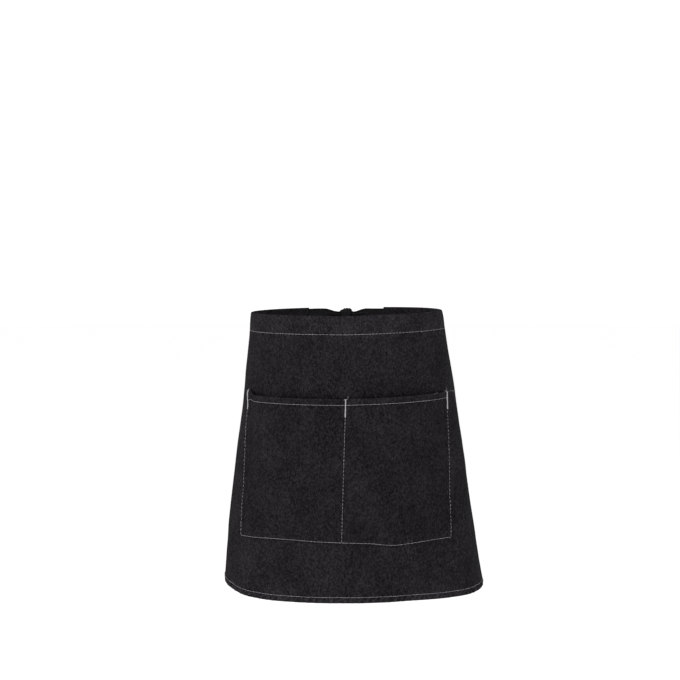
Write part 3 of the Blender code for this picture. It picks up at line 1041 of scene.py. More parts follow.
    def casing_walls(self) -> tuple[Array, Array, Array, Array, Array]:
        """The casing's wall as pairs of places down the front, over the fold and down the back.

        Returns:
            v and n of the outside, v and n of the tunnel, and how far each pair shares the puff.
        """
        drape = self.drape
        radius = drape.tunnel / 2 + drape.cloth
        rows = stops((radius, drape.tunnel_foot, self.casing_spacing))
        turn = np.linspace(0, np.pi, self.fold_points)[1:-1]
        puff = np.sin(np.pi * np.clip(rows / drape.tunnel_foot, 0, 1))
        front = np.full(len(rows), drape.face)
        hidden = self.casing_back(rows)
        outside = (radius, front, hidden)
        tunnel = (drape.tunnel / 2, front - drape.cloth, hidden + drape.cloth)
        walls = []
        for size, before, after in (outside, tunnel):
            walls.append(np.concatenate([rows[::-1], radius - size * np.sin(turn), rows]))
            walls.append(np.concatenate([before, drape.tape_offset + size * np.cos(turn), after]))
        shared = np.concatenate([puff[::-1], 0 * turn, self.casing_puff_behind * puff])
        return *walls, shared

    def places(self) -> tuple[Array, Array]:
        """Places across and down the cloth, close together where a hem starts."""
        drape = self.drape
        across = runs_past(0, self.hem_side, self.near_side_hem, drape.half - self.edge, self.spacing_across)
        end = drape.length - self.edge
        down = runs_past(drape.casing_depth, self.hem_top, self.near_foot_hem, end, self.spacing_down)
        u = mirrored(up_to_edge(drape.half, self.edge, *across))
        return u[:, None], up_to_edge(drape.length, self.edge, *down)[None, :]

    def build(self) -> Object:
        """Carry the section along the cloth.

        The section walks up the front face, over the casing's fold, down its back, over the turned
        edge and down the inner face. A second walk is the tunnel. Each wall thins to a rounded edge at
        the foot and the sides: half its thickness times the height of a quarter circle.

        Returns:
            The panel.
        """
        drape = self.drape
        u, v = self.places()
        keep_side = rounding(drape.half - np.abs(u), self.edge)
        front = self.front(u, v)
        back = self.back(u, v)
        middle = (front + back) / 2
        half = (front - back) / 2 * (keep_side * rounding(drape.length - v, self.edge))

        out_v, out_n, in_v, in_n, puff = self.casing_walls()
        play = 1 + self.casing_puff_play * ripple(u, 0.0, self.casing_puff_length, 1.0, seed=34)
        lift = self.casing_puff * puff * play + self.relief(u, (out_v + in_v)[None, :] / 2)
        mid_v = (out_v + in_v) / 2
        mid_n = (out_n + in_n) / 2 + lift
        half_v = (out_v - in_v) / 2 * keep_side
        half_n = (out_n - in_n) / 2 * keep_side
        edge_v = drape.casing_depth + np.array([self.turned_down])
        edge_n = -drape.face - drape.cloth * np.array([self.turned_out]) + self.relief(u, edge_v)
        all_v = side_by_side(len(u), mid_v + half_v, mid_v - half_v, v, v, edge_v)
        all_n = side_by_side(len(u), mid_n + half_n, mid_n - half_n, middle + half, middle - half, edge_n)
        over = np.where(np.arange(len(out_v)) > len(out_v) // 2, -1.0, 1.0)
        flat_v = side_by_side(len(u), out_v * over, in_v * over, v, v, edge_v)

        sizes = (len(out_v), len(in_v), v.shape[1], v.shape[1], edge_v.shape[1])
        around = sum(sizes)
        casing, tunnel, outer, inner, turned = np.split(np.arange(around), np.cumsum(sizes)[:-1])
        outside = np.concatenate([outer[::-1], casing, turned, inner])
        seam = np.concatenate([outer[:1], casing[:1], tunnel[[0, -1]], casing[-1:], turned, inner[:1]])[None]
        walls = np.concatenate([ladder(casing, tunnel), ladder(inner, outer)])
        last = (len(u) - 1) * around
        faces = [
            band(len(u), outside, around),
            band(len(u), tunnel[::-1], around),
            walls[:, ::-1],
            seam[:, ::-1],
            walls + last,
            seam + last,
        ]
        points = self.cloth.point(u, all_v, all_n).reshape(-1, 3)
        painted_light_and_wear = self.painted_light_and_wear(u, all_v)
        # painted shadow on the panel's outer face under the pocket's mouth
        painted_light_and_wear[:, outer] -= self.mouth_shadow * self.behind(u, v)
        shape = Shape(points, faces, flat_places(u, -flat_v), {"painted_light_and_wear": painted_light_and_wear.ravel()})
        piece = shape.object("denim_panel", self.finish)
        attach(piece, BODY)
        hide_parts("apron_panel")
        return piece


@dataclass
class Pocket:
    """The patch pocket, sewn down at its sides, its foot and the divider, and open at its mouth."""

    cloth: Cloth
    panel: Panel
    finish: Material
    half: float = POCKET_HALF
    top: float = POCKET_TOP
    depth: float = 0.226
    turn: float = 0.008
    turn_layers: float = 2.0
    turn_step: Pair = (-0.0012, 0.0008)
    mouth_hem: float = 0.0115
    mouth_layers: float = 2.4
    mouth_step: Pair = (-0.0006, 0.0012)
    edge_layers: float = 1.05
    spacing_across: Triple = (0.0019, 0.0005, 0.0012)
    spacing_mouth: Triple = (0.0012, 0.0006, 0.0032)
    spacing_down: Triple = (0.0032, 0.0005, 0.0012)
    gape: float = 0.0110
    gape_fade: float = 1.4
    corner_lift: float = CORNER_LIFT
    corner_reach: float = CORNER_REACH
    right_corner: float = 0.1
    corner_fade: float = 6
    foot_dip: float = 0.0050
    dip_fade: float = 3
    inset: float = 0.0020
    mouth_line: float = 0.0100
    groove_depth: float = 0.00035
    groove_width: float = 0.0008
    pucker_depth: float = 0.00022
    pucker_width: float = 0.007
    pucker_down: Pair = (0.0095, 0.060)
    pucker_across: Pair = (0.0090, 0.060)
    divider_pucker: float = 0.7
    divider_pucker_width: float = 0.006
    mouth_pucker: float = 0.6
    mouth_pucker_width: float = 0.005
    wave_depth: float = 0.00045
    wave_size: Pair = (0.050, 0.090)
    wave_clear: float = 0.012
    corner_turn: float = 0.0052
    corner_turn_reach: float = 0.0028
    corner_bend: float = 0.0027
    corner_bend_down: float = 0.0235
    corner_bend_reach: float = 0.0095
    skew_mouth: float = -0.0026
    skew_foot: float = 0.0042
    skew_grows: Pair = (-0.1, 0.9)
    skew_left: float = 0.0012
    skew_left_grows: Pair = (0.5, 1.0)
    mouth_wave: float = 0.0007
    mouth_wave_length: float = 0.0085
    mouth_wave_reach: float = 0.030
    mouth_wave_fade: float = 0.006
    # weights of painted light and shade, with wear, in the cloth's colour; the inner face is painted in shade
    edge_pale: float = 0.9
    edge_pale_place: float = 0.0008
    edge_pale_width: float = 0.0014
    mouth_pale: float = 0.25
    mouth_pale_end: float = 0.001
    pucker_pale: float = 0.6
    groove_shade: float = 0.7
    inside_shade: float = -2.0

    @property
    def side_fold(self) -> float:
        """How far out the turned side edges start."""
        return self.half - self.turn

    @property
    def foot_fold(self) -> float:
        """How far below the mouth the turned foot edge starts."""
        return self.depth - self.turn

    def across(self, u: Array, w: Array) -> Array:
        """Where the pocket's thread at u lies across the panel.

        The right side is drawn in at the mouth and out at the foot, the left side in at the foot, each
        by the square of u over the half width. The left corner of the mouth turns inwards, and below it
        the side bends in once more.
        """
        out = (u / self.half) ** 2
        grown = step(w, *self.skew_grows)
        right = (self.skew_mouth + (self.skew_foot - self.skew_mouth) * grown) * out
        left = (self.skew_left + self.skew_left * step(w, *self.skew_left_grows)) * out
        down = self.depth * w
        turned = self.corner_turn * np.exp(-down / self.corner_turn_reach)
        bent = self.corner_bend * bell(down - self.corner_bend_down, self.corner_bend_reach)
        return u + np.where(u > 0, right, left) + (turned + bent) * bell(u + self.half, self.corner_reach)

    def row(self, u: Array, w: Array) -> Array:
        """How far down the panel the pocket's point at the share w of its depth lies.

        The depth runs down evenly, less a bell at each corner of the mouth that fades with the depth,
        plus a smooth dip of the foot that grows with it, plus small waves of the mouth's corners.
        """
        near = bell(self.half - np.abs(u), self.mouth_wave_reach)
        near = near * np.exp(-self.depth * w / self.mouth_wave_fade)
        wave = self.mouth_wave * ripple(u, 0.0, self.mouth_wave_length, 1.0, seed=44) * near
        left = bell(u + self.half, self.corner_reach)
        right = self.right_corner * bell(u - self.half, self.corner_reach)
        lift = self.corner_lift * (left + right) * (1 - w) ** self.corner_fade
        drop = smooth(u / self.half, column(POCKET_FOOT, "out"), column(POCKET_FOOT, "drop"))
        return self.top + self.depth * w - lift + wave + self.foot_dip * drop * w**self.dip_fade

    def belly(self, u: Array, w: Array) -> Array:
        """How far the pocket stands off the panel: an arch over each compartment, widest at the mouth."""
        across = np.clip(np.abs(u) / self.side_fold, 0, 1)
        return self.gape * np.sin(np.pi * across) * np.clip(1 - w, 0, 1) ** self.gape_fade

    def seams(self, u: Array, w: Array, width: float) -> Array:
        """Bells of the given width along the sides', the foot's and the divider's stitches, at most 1."""
        side = bell(self.half - np.abs(u) - self.inset, width)
        foot = bell(self.depth - self.depth * w - self.inset, width)
        return np.maximum(np.maximum(side, foot), bell(u, width))

    def pucker(self, u: Array, w: Array) -> Array:
        """Puckers across the seams, from about -1 to 1."""
        down = self.depth * w
        side = bell(self.half - np.abs(u) - self.inset, self.pucker_width)
        divider = self.divider_pucker * bell(u, self.divider_pucker_width)
        foot = bell(self.depth - down - self.inset, self.pucker_width)
        mouth = self.mouth_pucker * bell(down - self.mouth_line, self.mouth_pucker_width)
        upright = ripple(down, u, *self.pucker_down, seed=41) * (side + divider)
        return upright + ripple(u, down, *self.pucker_across, seed=42) * np.clip(foot + mouth, 0, 1)

    def inner(self, u: Array, w: Array) -> Array:
        """Distance of the inner face from the cloth's middle surface."""
        drape = self.cloth.drape
        v = self.row(u, w)
        loose = 1 - self.seams(u, w, self.wave_clear)
        wave = self.wave_depth * (1 + ripple(u, v, *self.wave_size, seed=43)) * loose
        return drape.face + drape.gap + self.belly(u, w) + self.panel.relief(u, v) + wave

    def thickness(self, u: Array, w: Array) -> Array:
        """Thickness of the layers: turned edges at the sides and foot, and the mouth's hem."""
        down = self.depth * w
        at_side = step(np.abs(u) - self.side_fold, *self.turn_step)
        at_foot = step(down - self.foot_fold, *self.turn_step)
        mouth = 1 - step(down - self.mouth_hem, *self.mouth_step)
        layers = 1 + (self.turn_layers - 1) * np.maximum(at_side, at_foot)
        return self.cloth.drape.cloth * (layers + (self.mouth_layers - layers) * mouth)

    def outer(self, u: Array, w: Array) -> Array:
        """Distance of the outer face from the cloth's middle surface."""
        mouth = bell(self.depth * w - self.mouth_line, self.groove_width)
        lines = np.maximum(self.seams(u, w, self.groove_width), mouth)
        raised = self.pucker_depth * self.pucker(u, w) - self.groove_depth * lines
        return self.inner(u, w) + self.thickness(u, w) + raised

    def painted_light_and_wear(self, u: Array, w: Array) -> Array:
        """Painted light and shade, with wear, on the outer face: painted highlight with wear on puckers and
        the mouth's edge, painted light on the mouth's hem, painted shade along the stitches.
        """
        down = self.depth * w
        # painted highlight with wear along the mouth's folded edge
        lit_and_worn = self.edge_pale * bell(down - self.edge_pale_place, self.edge_pale_width)
        # painted light on the mouth's hem band
        hem = self.mouth_pale * (1 - step(down - self.mouth_line, -self.mouth_pale_end, self.mouth_pale_end))
        # painted shadow just under the mouth's stitches
        below = bell(down - self.mouth_line - self.edge_pale_place, self.edge_pale_width)
        # painted shade along the seams' stitches, together with that shadow
        dark = self.seams(u, w, self.groove_width) + below
        return self.pucker_pale * self.pucker(u, w) - self.groove_shade * dark + lit_and_worn + hem

    def build(self) -> Object:
        """Make the pocket as two grids over the same places, closed along rounded edges.

        Returns:
            The pocket.
        """
        edge = self.edge_layers * self.cloth.drape.cloth
        across = runs_past(0, self.side_fold, self.turn_step, self.half - edge, self.spacing_across)
        mouth = runs_past(edge, self.mouth_hem, self.mouth_step, self.foot_fold, self.spacing_mouth)[:2]
        foot = runs_past(mouth[-1][1], self.foot_fold, self.turn_step, self.depth - edge, self.spacing_down)
        u = mirrored(up_to_edge(self.half, edge, *across))[:, None]
        down = np.concatenate([edge_stops(edge)[:-1], up_to_edge(self.depth, edge, *mouth, *foot)])[None, :]
        w = down / self.depth
        keep = rounding(self.half - np.abs(u), edge) * rounding(down, edge)
        keep = keep * rounding(self.depth - down, edge)
        outer = self.outer(u, w)
        inner = self.inner(u, w)
        middle = (outer + inner) / 2
        half = (outer - inner) / 2 * keep
        v = self.row(u, w)
        all_v = np.concatenate([v, v[:, ::-1]], axis=1)
        all_n = np.concatenate([middle + half, (middle - half)[:, ::-1]], axis=1)
        all_w = np.concatenate([w, w[:, ::-1]], axis=1)
        points = self.cloth.point(self.across(u, all_w), all_v, all_n).reshape(-1, 3)
        painted_light_and_wear = self.painted_light_and_wear(u, w)
        # painted shade on the pocket's inner face, in the hollow behind its mouth
        painted_light_and_wear = np.concatenate([painted_light_and_wear, np.full_like(painted_light_and_wear, self.inside_shade)], axis=1).ravel()
        shape = Shape(points, closed_walk(len(u), all_v.shape[1]), flat_places(u, -all_v), {"painted_light_and_wear": painted_light_and_wear})
        piece = shape.object("denim_pocket", self.finish)
        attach(piece, BODY)
        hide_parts("pocket")
        return piece


Place = tuple[Array, Array, Array]
Line = Callable[[Array], Place]


class Row(NamedTuple):
    """A row of stitches: where it runs from and to, its side, gaps and thickness, and its line."""

    start: float
    end: float
    side: Side
    gap: float
    radius: float
    line: Line


class Bar(NamedTuple):
    """A bartack: its seam (-1 left, 0 divider, 1 right), where it starts and ends, and its relative width."""

    seam: float
    start: float
    end: float
    width: float


class Strand(NamedTuple):
    """A loose thread: its seam, and its places across from it, below the mouth and out of the face."""

    seam: float
    across: tuple[float, ...]
    down: tuple[float, ...]
    proud: tuple[float, ...]


BARS = (
    Bar(-1.0, 0.0010, 0.0275, 2.0),
    Bar(0.0, 0.0008, 0.029, 1.1),
    Bar(0.0, 0.0008, 0.0018, 2.3),
    Bar(1.0, 0.0014, 0.028, 1.8),
)

STRANDS = (
    Strand(
        1.0,
        (0.0, 0.0030, 0.0080, 0.0130, 0.0170, 0.0200),
        (0.0016, 0.0004, -0.0002, 0.0004, 0.0016, 0.0032),
        (0.0006, 0.0020, 0.0028, 0.0026, 0.0020, 0.0014),
    ),
    Strand(
        1.0,
        (-0.0380, -0.0350, -0.0320, -0.0290),
        (0.0010, -0.0002, -0.0006, 0.0006),
        (0.0002, 0.0008, 0.0008, 0.0002),
    ),
    Strand(
        0.0,
        (0.0006, 0.0024, 0.0034, 0.0036, 0.0034),
        (0.0008, 0.0002, -0.0014, -0.0034, -0.0050),
        (0.0003, 0.0010, 0.0012, 0.0010, 0.0008),
    ),
    Strand(
        -1.0,
        (0.0, 0.0010, 0.0022, 0.0026),
        (0.0010, -0.0004, -0.0010, -0.0016),
        (0.0003, 0.0008, 0.0010, 0.0010),
    ),
)

TUFT = tuple(
    Strand(
        1.0,
        (0.0, -0.7 * reach, -0.9 * reach, -reach),
        (0.0020, 0.0006 - 0.3 * rise, -0.7 * rise, -rise),
        (0.0004, 0.0010, 0.0012, 0.0012),
    )
    for reach, rise in ((0.0034, 0.0048), (0.0050, 0.0036), (0.0070, 0.0022), (0.0090, 0.0010))
)


@dataclass
class Stitching:
    """Rows of lockstitches, bartacks and loose thread ends, laid on the cloth's two faces."""

    cloth: Cloth
    panel: Panel
    pocket: Pocket
    finish: Material
    pitch: float = 0.0056
    gap_across: float = 0.0002
    gap_down: float = 0.0016
    gap_play: Pair = (0.6, 1.4)
    radius_across: float = 0.00020
    radius_down: float = 0.00023
    tone_play: float = 0.35
    short_of_side: float = 0.002
    short_of_mouth_end: float = 0.001
    below_mouth: float = 0.0012
    below_casing: float = 0.001
    sides: int = 5
    rings: int = 5
    thin_end: float = 0.55
    arch: float = 0.00022
    proud: float = 0.00014
    bar_radius: float = 0.00027
    bar_pitch: float = 0.00042
    bar_width: float = 0.0018
    bar_arch: float = 0.0001
    bar_raised: float = 0.00035
    bar_jitter: float = 0.00005
    bar_play: Pair = (0.85, 1.1)
    bar_top: float = 0.0004
    loose_radius: float = 0.00013
    loose_tip: float = 0.2
    loose_tone: float = -0.8
    loose_sides: int = 6
    loose_rings: int = 36
    hook: float = 0.0066
    hook_reach: float = 0.009
    smooth_angle: float = 80.0
    seed: int = 5

    @property
    def sewn(self) -> float:
        """How far out the stitches of the pocket's sides lie."""
        return self.pocket.half - self.pocket.inset

    def on_panel(self, u: Array, v: Array, side: Side) -> Place:
        """Place on one face of the panel."""
        face = self.panel.front(u, v) if side is Side.FRONT else self.panel.back(u, v)
        return u, v, face + side.value * self.proud

    def on_casing_back(self, u: Array, v: Array) -> Place:
        """Place on the casing's hidden outer face."""
        return u, v, self.panel.casing_back(v) + self.panel.relief(u, v) - self.proud

    def on_pocket(self, u: Array, down: Array, side: Side) -> Place:
        """Place on the pocket's outer face, or under it on the panel's inner face."""
        w = down / self.pocket.depth
        v = self.pocket.row(u, w)
        across = self.pocket.across(u, w)
        if side is Side.FRONT:
            return across, v, self.pocket.outer(u, w) + self.proud
        return self.on_panel(across, v, side)

    def on_mouth(self, u: Array) -> Place:
        """Place on the mouth's line of stitches, which rises less than the edge at the left corner."""
        down = self.pocket.mouth_line + self.hook * bell(u + self.pocket.half, self.hook_reach)
        return self.on_pocket(u, down, Side.FRONT)

    def across(self, reach: float, side: Side, line: Line) -> Row:
        """Row that runs across the cloth, as far to the left as to the right."""
        return Row(-reach, reach, side, self.gap_across, self.radius_across, line)

    def level(self, reach: float, side: Side, place: Callable[..., Place], v: float) -> Row:
        """Row that runs across the cloth at one place down it."""
        return self.across(reach, side, lambda t: place(t, v + 0 * t, side))

    def upright(self, start: float, end: float, side: Side, place: Callable[..., Place], u: float) -> Row:
        """Row that runs down the cloth at one place across it."""
        return Row(start, end, side, self.gap_down, self.radius_down, lambda t: place(u + 0 * t, t, side))

    def rows(self) -> list[Row]:
        """Every row of stitches."""
        panel = self.panel
        side_edge = panel.drape.half - panel.side_stitch
        foot = self.pocket.depth - self.pocket.inset
        casing_end = panel.drape.half - self.short_of_side
        side_start = panel.drape.casing_depth + self.below_casing
        rows = [
            self.level(casing_end, Side.FRONT, self.on_panel, panel.casing_line),
            self.across(casing_end, Side.BACK, lambda t: self.on_casing_back(t, panel.casing_line + 0 * t)),
            self.across(self.pocket.half - self.short_of_mouth_end, Side.FRONT, self.on_mouth),
        ]
        for side in Side:
            rows.append(self.level(side_edge, side, self.on_panel, panel.foot_line))
            rows.append(self.level(self.sewn, side, self.on_pocket, foot))
            for u in (-self.sewn, 0.0, self.sewn):
                rows.append(self.upright(self.below_mouth, foot, side, self.on_pocket, u))
            for u in (-side_edge, side_edge):
                rows.append(self.upright(side_start, panel.foot_line, side, self.on_panel, u))
        return rows

    def threads(self, line: Array, out: Array, tone: Array, radius: Array, arch: float) -> Shape:
        """Short lengths of thread that dip at both ends.

        Each has rings of points round the points of its line, and a pole at each end. The rings rise
        over the line by the arch times the sine of the share of the way, and the poles are sunk.

        Args:
            line: for each thread the points that it follows.
            out: for each thread a unit vector out of the cloth.
            tone: how pale each is, from -1 to 1.
            radius: half the thickness of each.
            arch: how far the middle is raised.

        Returns:
            All the lengths as one shape.
        """
        count, rings, _ = line.shape
        sides = self.sides
        along = np.gradient(line, axis=1)
        aside = unit(np.cross(along, out[:, None]))
        turn = np.linspace(0, 2 * np.pi, sides, endpoint=False)
        share = np.linspace(0, 1, rings)
        rise = np.sin(np.pi * share)
        wide = radius[:, None] * (self.thin_end + (1 - self.thin_end) * rise**0.5)
        centre = line + out[:, None] * (arch * rise)[:, None]
        ring = (
            centre[:, :, None]
            + out[:, None, None] * (wide[..., None] * np.cos(turn))[..., None]
            + aside[:, :, None] * (wide[..., None] * np.sin(turn))[..., None]
        )
        radius = radius[:, None, None]
        tips = 0.5 * radius * unit(along)
        poles = np.stack([line[:, 0] - tips[:, 0], line[:, -1] + tips[:, -1]], axis=1) - radius * out[:, None]
        points = np.concatenate([ring.reshape(count, sides * rings, 3), poles], axis=1)
        here = np.arange(sides)
        after = np.roll(here, -1)
        first = np.full(sides, sides * rings)
        last = sides * (rings - 1)
        caps = np.concatenate([
            np.stack([first, after, here], axis=-1),
            np.stack([first + 1, last + here, last + after], axis=-1),
        ])
        offset = points.shape[1] * np.arange(count)[:, None, None]
        faces = [(offset + band(rings, here, sides)).reshape(-1, 4), (offset + caps).reshape(-1, 3)]
        length = np.linalg.norm(np.diff(line, axis=1), axis=-1).sum(axis=-1, keepdims=True)
        place = np.concatenate([np.repeat(share, sides), [0.0, 1.0]])
        around = np.concatenate([np.tile(turn / (2 * np.pi), rings), [0.0, 0.0]])
        tones = {"tone": np.repeat(tone, points.shape[1])}
        return Shape(points.reshape(-1, 3), faces, flat_places(around, place * length), tones)

    def lockstitches(self) -> Shape:
        """All rows of stitches: even lengths along each line, of slightly uneven size and tone."""
        random = np.random.default_rng(self.seed)
        lines, outs, sizes = [], [], []
        for row in self.rows():
            count = int((row.end - row.start) / self.pitch)
            marks = np.linspace(row.start, row.end, count + 1)
            first = marks[:-1] + row.gap / 2 * random.uniform(*self.gap_play, count)
            second = marks[1:] - row.gap / 2 * random.uniform(*self.gap_play, count)
            t = first[:, None] + (second - first)[:, None] * np.linspace(0, 1, self.rings)
            lines.append(self.cloth.point(*row.line(t)))
            u, v, _ = together(*row.line((first + second) / 2))
            outs.append(row.side.value * self.cloth.normal(u, v))
            sizes.append(np.full(count, row.radius))
        radius = np.concatenate(sizes)
        tone = random.normal(0, self.tone_play, len(radius))
        return self.threads(np.concatenate(lines), np.concatenate(outs), tone, radius, self.arch)

    def zigzag(self, bar: Bar) -> tuple[Array, Array]:
        """Zigzag of thread down a seam: its turns lie by turns at the left and the right of the bar.

        Args:
            bar: the bartack.

        Returns:
            The two end points of each length of thread, and unit vectors out of the cloth.
        """
        across = bar.seam * self.sewn
        random = np.random.default_rng(self.seed + int(1000 * (across + 1)))
        count = int((bar.end - bar.start) / self.bar_pitch) + 1
        down = np.linspace(bar.start, bar.end, count) + random.normal(0, self.bar_jitter, count)
        half_width = np.where(np.arange(count) % 2 == 0, -0.5, 0.5) * (bar.width * self.bar_width)
        swing = half_width * random.uniform(*self.bar_play, count)
        u, v, n = self.on_pocket(across + swing, np.maximum(down, self.bar_top), Side.FRONT)
        place = self.cloth.point(u, v, n + self.bar_raised)
        out = self.cloth.normal((u[:-1] + u[1:]) / 2, (v[:-1] + v[1:]) / 2)
        return np.stack([place[:-1], place[1:]], axis=1), out

    def bartacks(self) -> Shape:
        """The dense bars that hold the mouth's two corners and the head of the divider."""
        ends, outs = (np.concatenate(parts) for parts in zip(*map(self.zigzag, BARS)))
        share = np.linspace(0, 1, 3)[:, None]
        lines = ends[:, :1] * (1 - share) + ends[:, 1:] * share
        tone = np.random.default_rng(self.seed + 1).normal(1.0, self.tone_play, len(lines))
        return self.threads(lines, outs, tone, np.full(len(lines), self.bar_radius), self.bar_arch)

    def tube(self, strand: Strand) -> tuple[Array, Array]:
        """Tube of thread through a strand's places.

        The places are joined by a smooth curve, and a ring of points is carried along it. Its first and
        last rings shrink.

        Args:
            strand: the loose thread.

        Returns:
            The rings' points, and the distance along the thread at each ring.
        """
        marks = np.arange(len(strand.across), dtype=float)
        t = np.linspace(0, marks[-1], self.loose_rings)
        u = smooth(t, marks, strand.seam * self.sewn + np.array(strand.across))
        below = smooth(t, marks, np.array(strand.down))
        u, v, n = self.on_pocket(u, np.maximum(below, 0.0), Side.FRONT)
        line = self.cloth.point(u, v + np.minimum(below, 0.0), n + smooth(t, marks, np.array(strand.proud)))
        along = unit(np.gradient(line, axis=0))
        first = unit(np.cross(along, self.cloth.normal(u, v)))
        second = np.cross(along, first)
        turn = np.linspace(0, 2 * np.pi, self.loose_sides, endpoint=False)
        size = np.full((len(t), 1, 1), self.loose_radius)
        size[[0, -1]] *= self.loose_tip
        ring = first[:, None] * np.cos(turn)[:, None] + second[:, None] * np.sin(turn)[:, None]
        return line[:, None] + size * ring, travelled(line)

    def loose_ends(self) -> Shape:
        """The thread ends that stand out of the three bartacks."""
        rings, sides = self.loose_rings, self.loose_sides
        tubes = [self.tube(strand) for strand in STRANDS + TUFT]
        loop = np.arange(sides)
        faces = []
        for start in np.arange(len(tubes)) * rings * sides:
            faces.append(band(rings, loop, sides) + start)
            faces.append(loop[None, ::-1] + start)
            faces.append(loop[None, :] + start + (rings - 1) * sides)
        points = np.concatenate([ring.reshape(-1, 3) for ring, _ in tubes])
        around = np.tile(loop / sides, rings)
        uv = np.concatenate([flat_places(around, np.repeat(distance, sides)) for _, distance in tubes])
        return Shape(points, faces, uv, {"tone": np.full(len(points), self.loose_tone)})

    def build(self) -> list[Object]:
        """Make the stitches, the bartacks and the loose ends.

        Returns:
            The three pieces.
        """
        pieces = [
            self.lockstitches().object("seam_stitches", self.finish, self.smooth_angle),
            self.bartacks().object("bartacks", self.finish, self.smooth_angle),
            self.loose_ends().object("thread_ends", self.finish, self.smooth_angle),
        ]
        for piece in pieces:
            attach(piece, BODY)
        return pieces


@dataclass
class Bow:
    """The tapes that leave the casing, the knot behind, its two loops and its two hanging ends."""

    drape: Drape
    finish: Material
    knot_width: float = 0.026
    knot_depth: float = 0.019
    knot_height: float = 0.025
    neck_width: float = 0.012
    neck_length: float = 0.030
    sunk: float = 0.003
    loop_length: float = 0.092
    loop_opening: float = 0.024
    loop_droop: float = float(np.radians(48.0))
    loop_start: float = 0.16
    loop_fullness: float = 0.77
    loop_play: float = 1.6
    loop_setback: float = 0.12
    loop_sunk: float = 0.002
    loop_points: int = 170
    tail_length: float = 0.262
    tail_splay: float = 0.036
    tail_wave: float = 0.0058
    tail_waves: float = 1.1
    tail_place: float = 0.62
    tail_twist: float = 0.5
    tail_points: int = 190
    twist_share: float = 0.9
    pleats: int = 3
    pleat_flattens: float = 0.35
    spacing: float = 0.0014
    across_points: int = 28
    edge_turn: float = 0.04
    edge_roundness: float = 5
    sway: float = 0.0005
    sway_size: Pair = (0.045, 0.05)
    roundness: float = 0.8
    heart_size: float = 0.80
    heart_rings: int = 49
    heart_points: int = 64
    heart_power: float = 3.2
    heart_end: float = 0.05
    crease: float = 0.05
    creases: int = 9
    crease_lean: float = 0.8
    crease_middle: float = 0.4
    wrap_size: float = 0.83
    wrap_rings: int = 120
    wrap_points: int = 26
    wrap_turn: float = 0.06
    wrap_roundness: float = 4
    wrap_half_width: float = 0.0078
    wrap_play: float = 0.10
    wrap_phase: float = 0.6
    wrap_thickness: float = 1.3
    wrap_lean: float = 0.0022
    wrap_sunk: float = 0.0016
    wrap_stretch: float = 1.6
    pleat_inside: float = 0.3
    wide_pleat: float = 0.0006
    wide_pleats: float = 3.0
    wide_pleat_sway: float = 0.7
    fine_pleat: float = 0.0003
    fine_pleats: float = 5.0

    def way_round(self, side: int) -> float:
        """Length along the tape's line from the centre thread round to the centre of the back."""
        drape = self.drape
        down = np.array([drape.tape_line / drape.length])
        turn = np.array([np.pi / 2])
        name, spread = ("left", drape.hem_left) if side < 0 else ("right", drape.hem_right)
        wide = drape.level(down, name, drape.waist_half_width, spread)
        front = drape.level(down, "front", drape.waist_front, drape.hem_front)
        back = drape.level(down, "back", drape.waist_back, drape.hem_back)
        return float((drape.arc_length(turn, wide, front) + drape.arc_length(turn, back, wide))[0])

    def knot_centre(self) -> Array:
        """Centre of the knot, behind the tapes where they meet."""
        meet = self.drape.point(self.way_round(1), self.drape.tape_line, self.drape.tape_offset)
        return meet + np.array([0, self.knot_depth / 2 - 2 * self.drape.tape, 0])

    def width(self, distance: Array) -> Array:
        """Width of the tape at a distance from the knot, where it is drawn together."""
        gained = self.drape.tape_width - self.neck_width
        return self.neck_width + gained * step(distance, 0, self.neck_length)

    def ribbon(self, name: str, node: str, middle: Array, across: Array, widths: Array) -> Object:
        """Tape along a line, drawn into lengthwise pleats where it is narrow.

        The section is a flat band with rounded edges. The pleats push it forth and back by a cosine
        across the width, whose height makes up for the width that is lost: the pleat's width over pi
        times the root of the full width over the width, less one.

        Args:
            name: the piece's name.
            node: the node that it stands for.
            middle: points of the middle line.
            across: direction of the width at each point.
            widths: width at each point.

        Returns:
            The tape.
        """
        drape = self.drape
        across = unit(across)
        face = unit(np.cross(np.gradient(middle, axis=0), across))
        half_turn = np.linspace(self.edge_turn, np.pi - self.edge_turn, self.across_points)
        t = np.concatenate([-np.cos(half_turn), np.cos(half_turn)])
        round_off = np.minimum(1, np.sin(half_turn) * self.edge_roundness)
        thick = np.concatenate([round_off, -round_off]) * drape.tape / 2
        lost = np.maximum(drape.tape_width / widths - 1, 0)
        height = widths / self.pleats / np.pi * np.sqrt(lost)
        pleat = height[:, None] * np.cos(self.pleats * np.pi * t) * (1 - self.pleat_flattens * t**2)
        distance = travelled(middle)[:, None]
        flat = t * drape.tape_width / 2
        sway = self.sway * ripple(distance, flat, *self.sway_size, seed=51)
        points = (
            middle[:, None]
            + across[:, None] * (widths[:, None] / 2 * t)[..., None]
            + face[:, None] * (thick + sway)[..., None]
        )
        points[..., 1] += pleat
        faces = closed_walk(len(middle), len(t))
        piece = Shape(points.reshape(-1, 3), faces, flat_places(flat, distance)).object(name, self.finish)
        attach(piece, BODY)
        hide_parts(node)
        return piece

    def tie(self, side: int, name: str, node: str) -> Object:
        """One tape, from inside the casing round to the knot on the line of the casing."""
        drape = self.drape
        end = self.way_round(side) - self.knot_width / 2 + self.sunk
        u = stops((drape.half - drape.tape_hidden, end, self.spacing))
        middle = drape.point(side * u, drape.tape_line, drape.tape_offset)
        above = drape.point(side * u, drape.tape_line - drape.tiny, drape.tape_offset)
        return self.ribbon(name, node, middle, above - middle, self.width(end - u))

